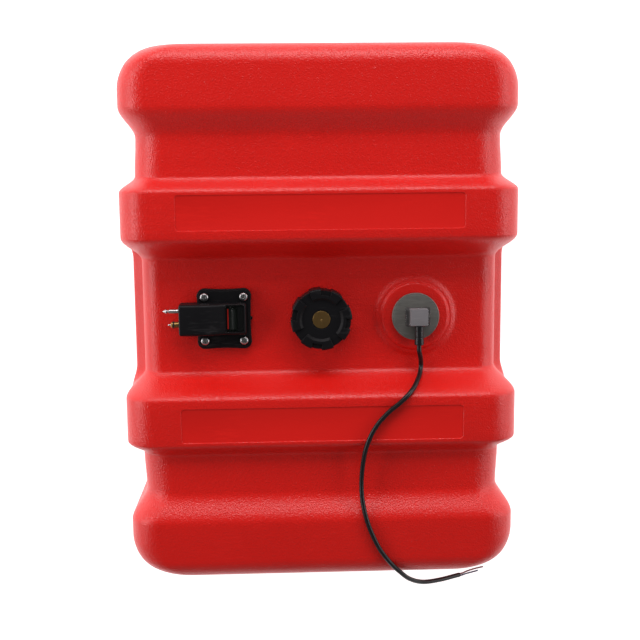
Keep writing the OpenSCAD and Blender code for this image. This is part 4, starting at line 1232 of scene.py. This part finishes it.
# %% [markdown]
# ## The sender
#
# A die-cast disc closes the tank and carries a clear capsule with a grey potted
# circuit in it; a black sleeve guards the lead where it leaves. The disc was
# turned in a lathe, so its face has one fine groove inside the rim and its
# edge a small bevel. The capsule is two pieces, as the real one is: the clear
# cover and the grey block in it, so that its edges catch light like glass.

# %% Sender's disc
DISC_LOW, DISC_HIGH = corners_of("sender_head")
DISC_R, DISC_TOP = (DISC_HIGH.x - DISC_LOW.x) / 2, DISC_HIGH.z
DISC_T, FLOOR_T = 5.0, 2.6  # thickness, and height of the hollow under it
DISC_Z = DISC_TOP - DISC_T


def sender_disc():
    line = rounded([
        (9, FLOOR_T, 0), (9, 0, 0), (15, 0, 0), (15, -16, 0), (20.7, -16, 0.6), (20.7, 0, 0),
        (DISC_R, 0, 0.3), (DISC_R, DISC_T, 0.9), (26.4, DISC_T, 0.1), (26.1, 4.7, 0),
        (25.8, DISC_T, 0.1), (0, DISC_T, 0)], steps=5)
    line += [Vector((0, FLOOR_T))]
    return shade(turned("disc", line, (SENDER_X, ROW_Y, DISC_Z), steps=160, closed=True), 35)


seat(sender_disc(), "tank", "sender_head")

# %% Capsule, its core and the sleeve
CAPSULE_X, CAPSULE_W, CAPSULE_L, CAPSULE_H = SENDER_X + 3.0, 23.0, 22.0, 10.0
TRAY_X, TRAY_W, TRAY_L, TRAY_H = CAPSULE_X - 0.8, CAPSULE_W + 6.4, CAPSULE_L + 1.0, 4.5
CORE_X, CORE_W, CORE_L = CAPSULE_X + 0.3, 20.6, 20.0
CORE_LOW, CORE_HIGH = 0.3, CAPSULE_H - 0.4
SLEEVE_L, SLEEVE_R, SLEEVE_GROOVE_R = 22.0, 5.2, 5.0


def block_of(name, x, wide, long, low, high, r, soft):
    """A box on the disc, from low to high over it, with round corners and a soft top."""
    levels = [(low + z, inset) for z, inset in soft_levels(high - low, soft)]
    return slab(name, boxed(wide, long, r, 6), levels, (x, ROW_Y, DISC_TOP))


def capsule():
    cover = block_of("cover", CAPSULE_X, CAPSULE_W, CAPSULE_L, 0, CAPSULE_H, 2.0, 1.3)
    tray = block_of("tray", TRAY_X, TRAY_W, TRAY_L, 0, TRAY_H, 2.5, 1.2)
    combine(cover, tray, "UNION")
    return shade(cover, 30)


def capsule_core():
    return shade(block_of("core", CORE_X, CORE_W, CORE_L, CORE_LOW, CORE_HIGH, 1.2, 0.8), 30)


def sleeve():
    r, groove = SLEEVE_R, SLEEVE_GROOVE_R
    line = rounded([
        (0, 0, 0), (r, 0, 0), (r, 5, 0.3), (groove, 5.6, 0.3), (groove, 6.4, 0.3), (r, 7, 0.3),
        (r, 12, 0.3), (groove, 12.6, 0.3), (groove, 13.4, 0.3), (5.3, 14, 0.3),
        (5.6, SLEEVE_L, 0.8), (0, SLEEVE_L, 0)])
    start = (CAPSULE_X + 0.5, ROW_Y - CAPSULE_L / 2, DISC_TOP + 5.4)
    return shade(turned("sleeve", line, start, axis=(0, -1, 0), steps=64), 35)


seat(capsule(), "tank", "sender_capsule")
seat(capsule_core(), "tank", slot="magnet_grey")
seat(sleeve(), "tank", "strain_relief")
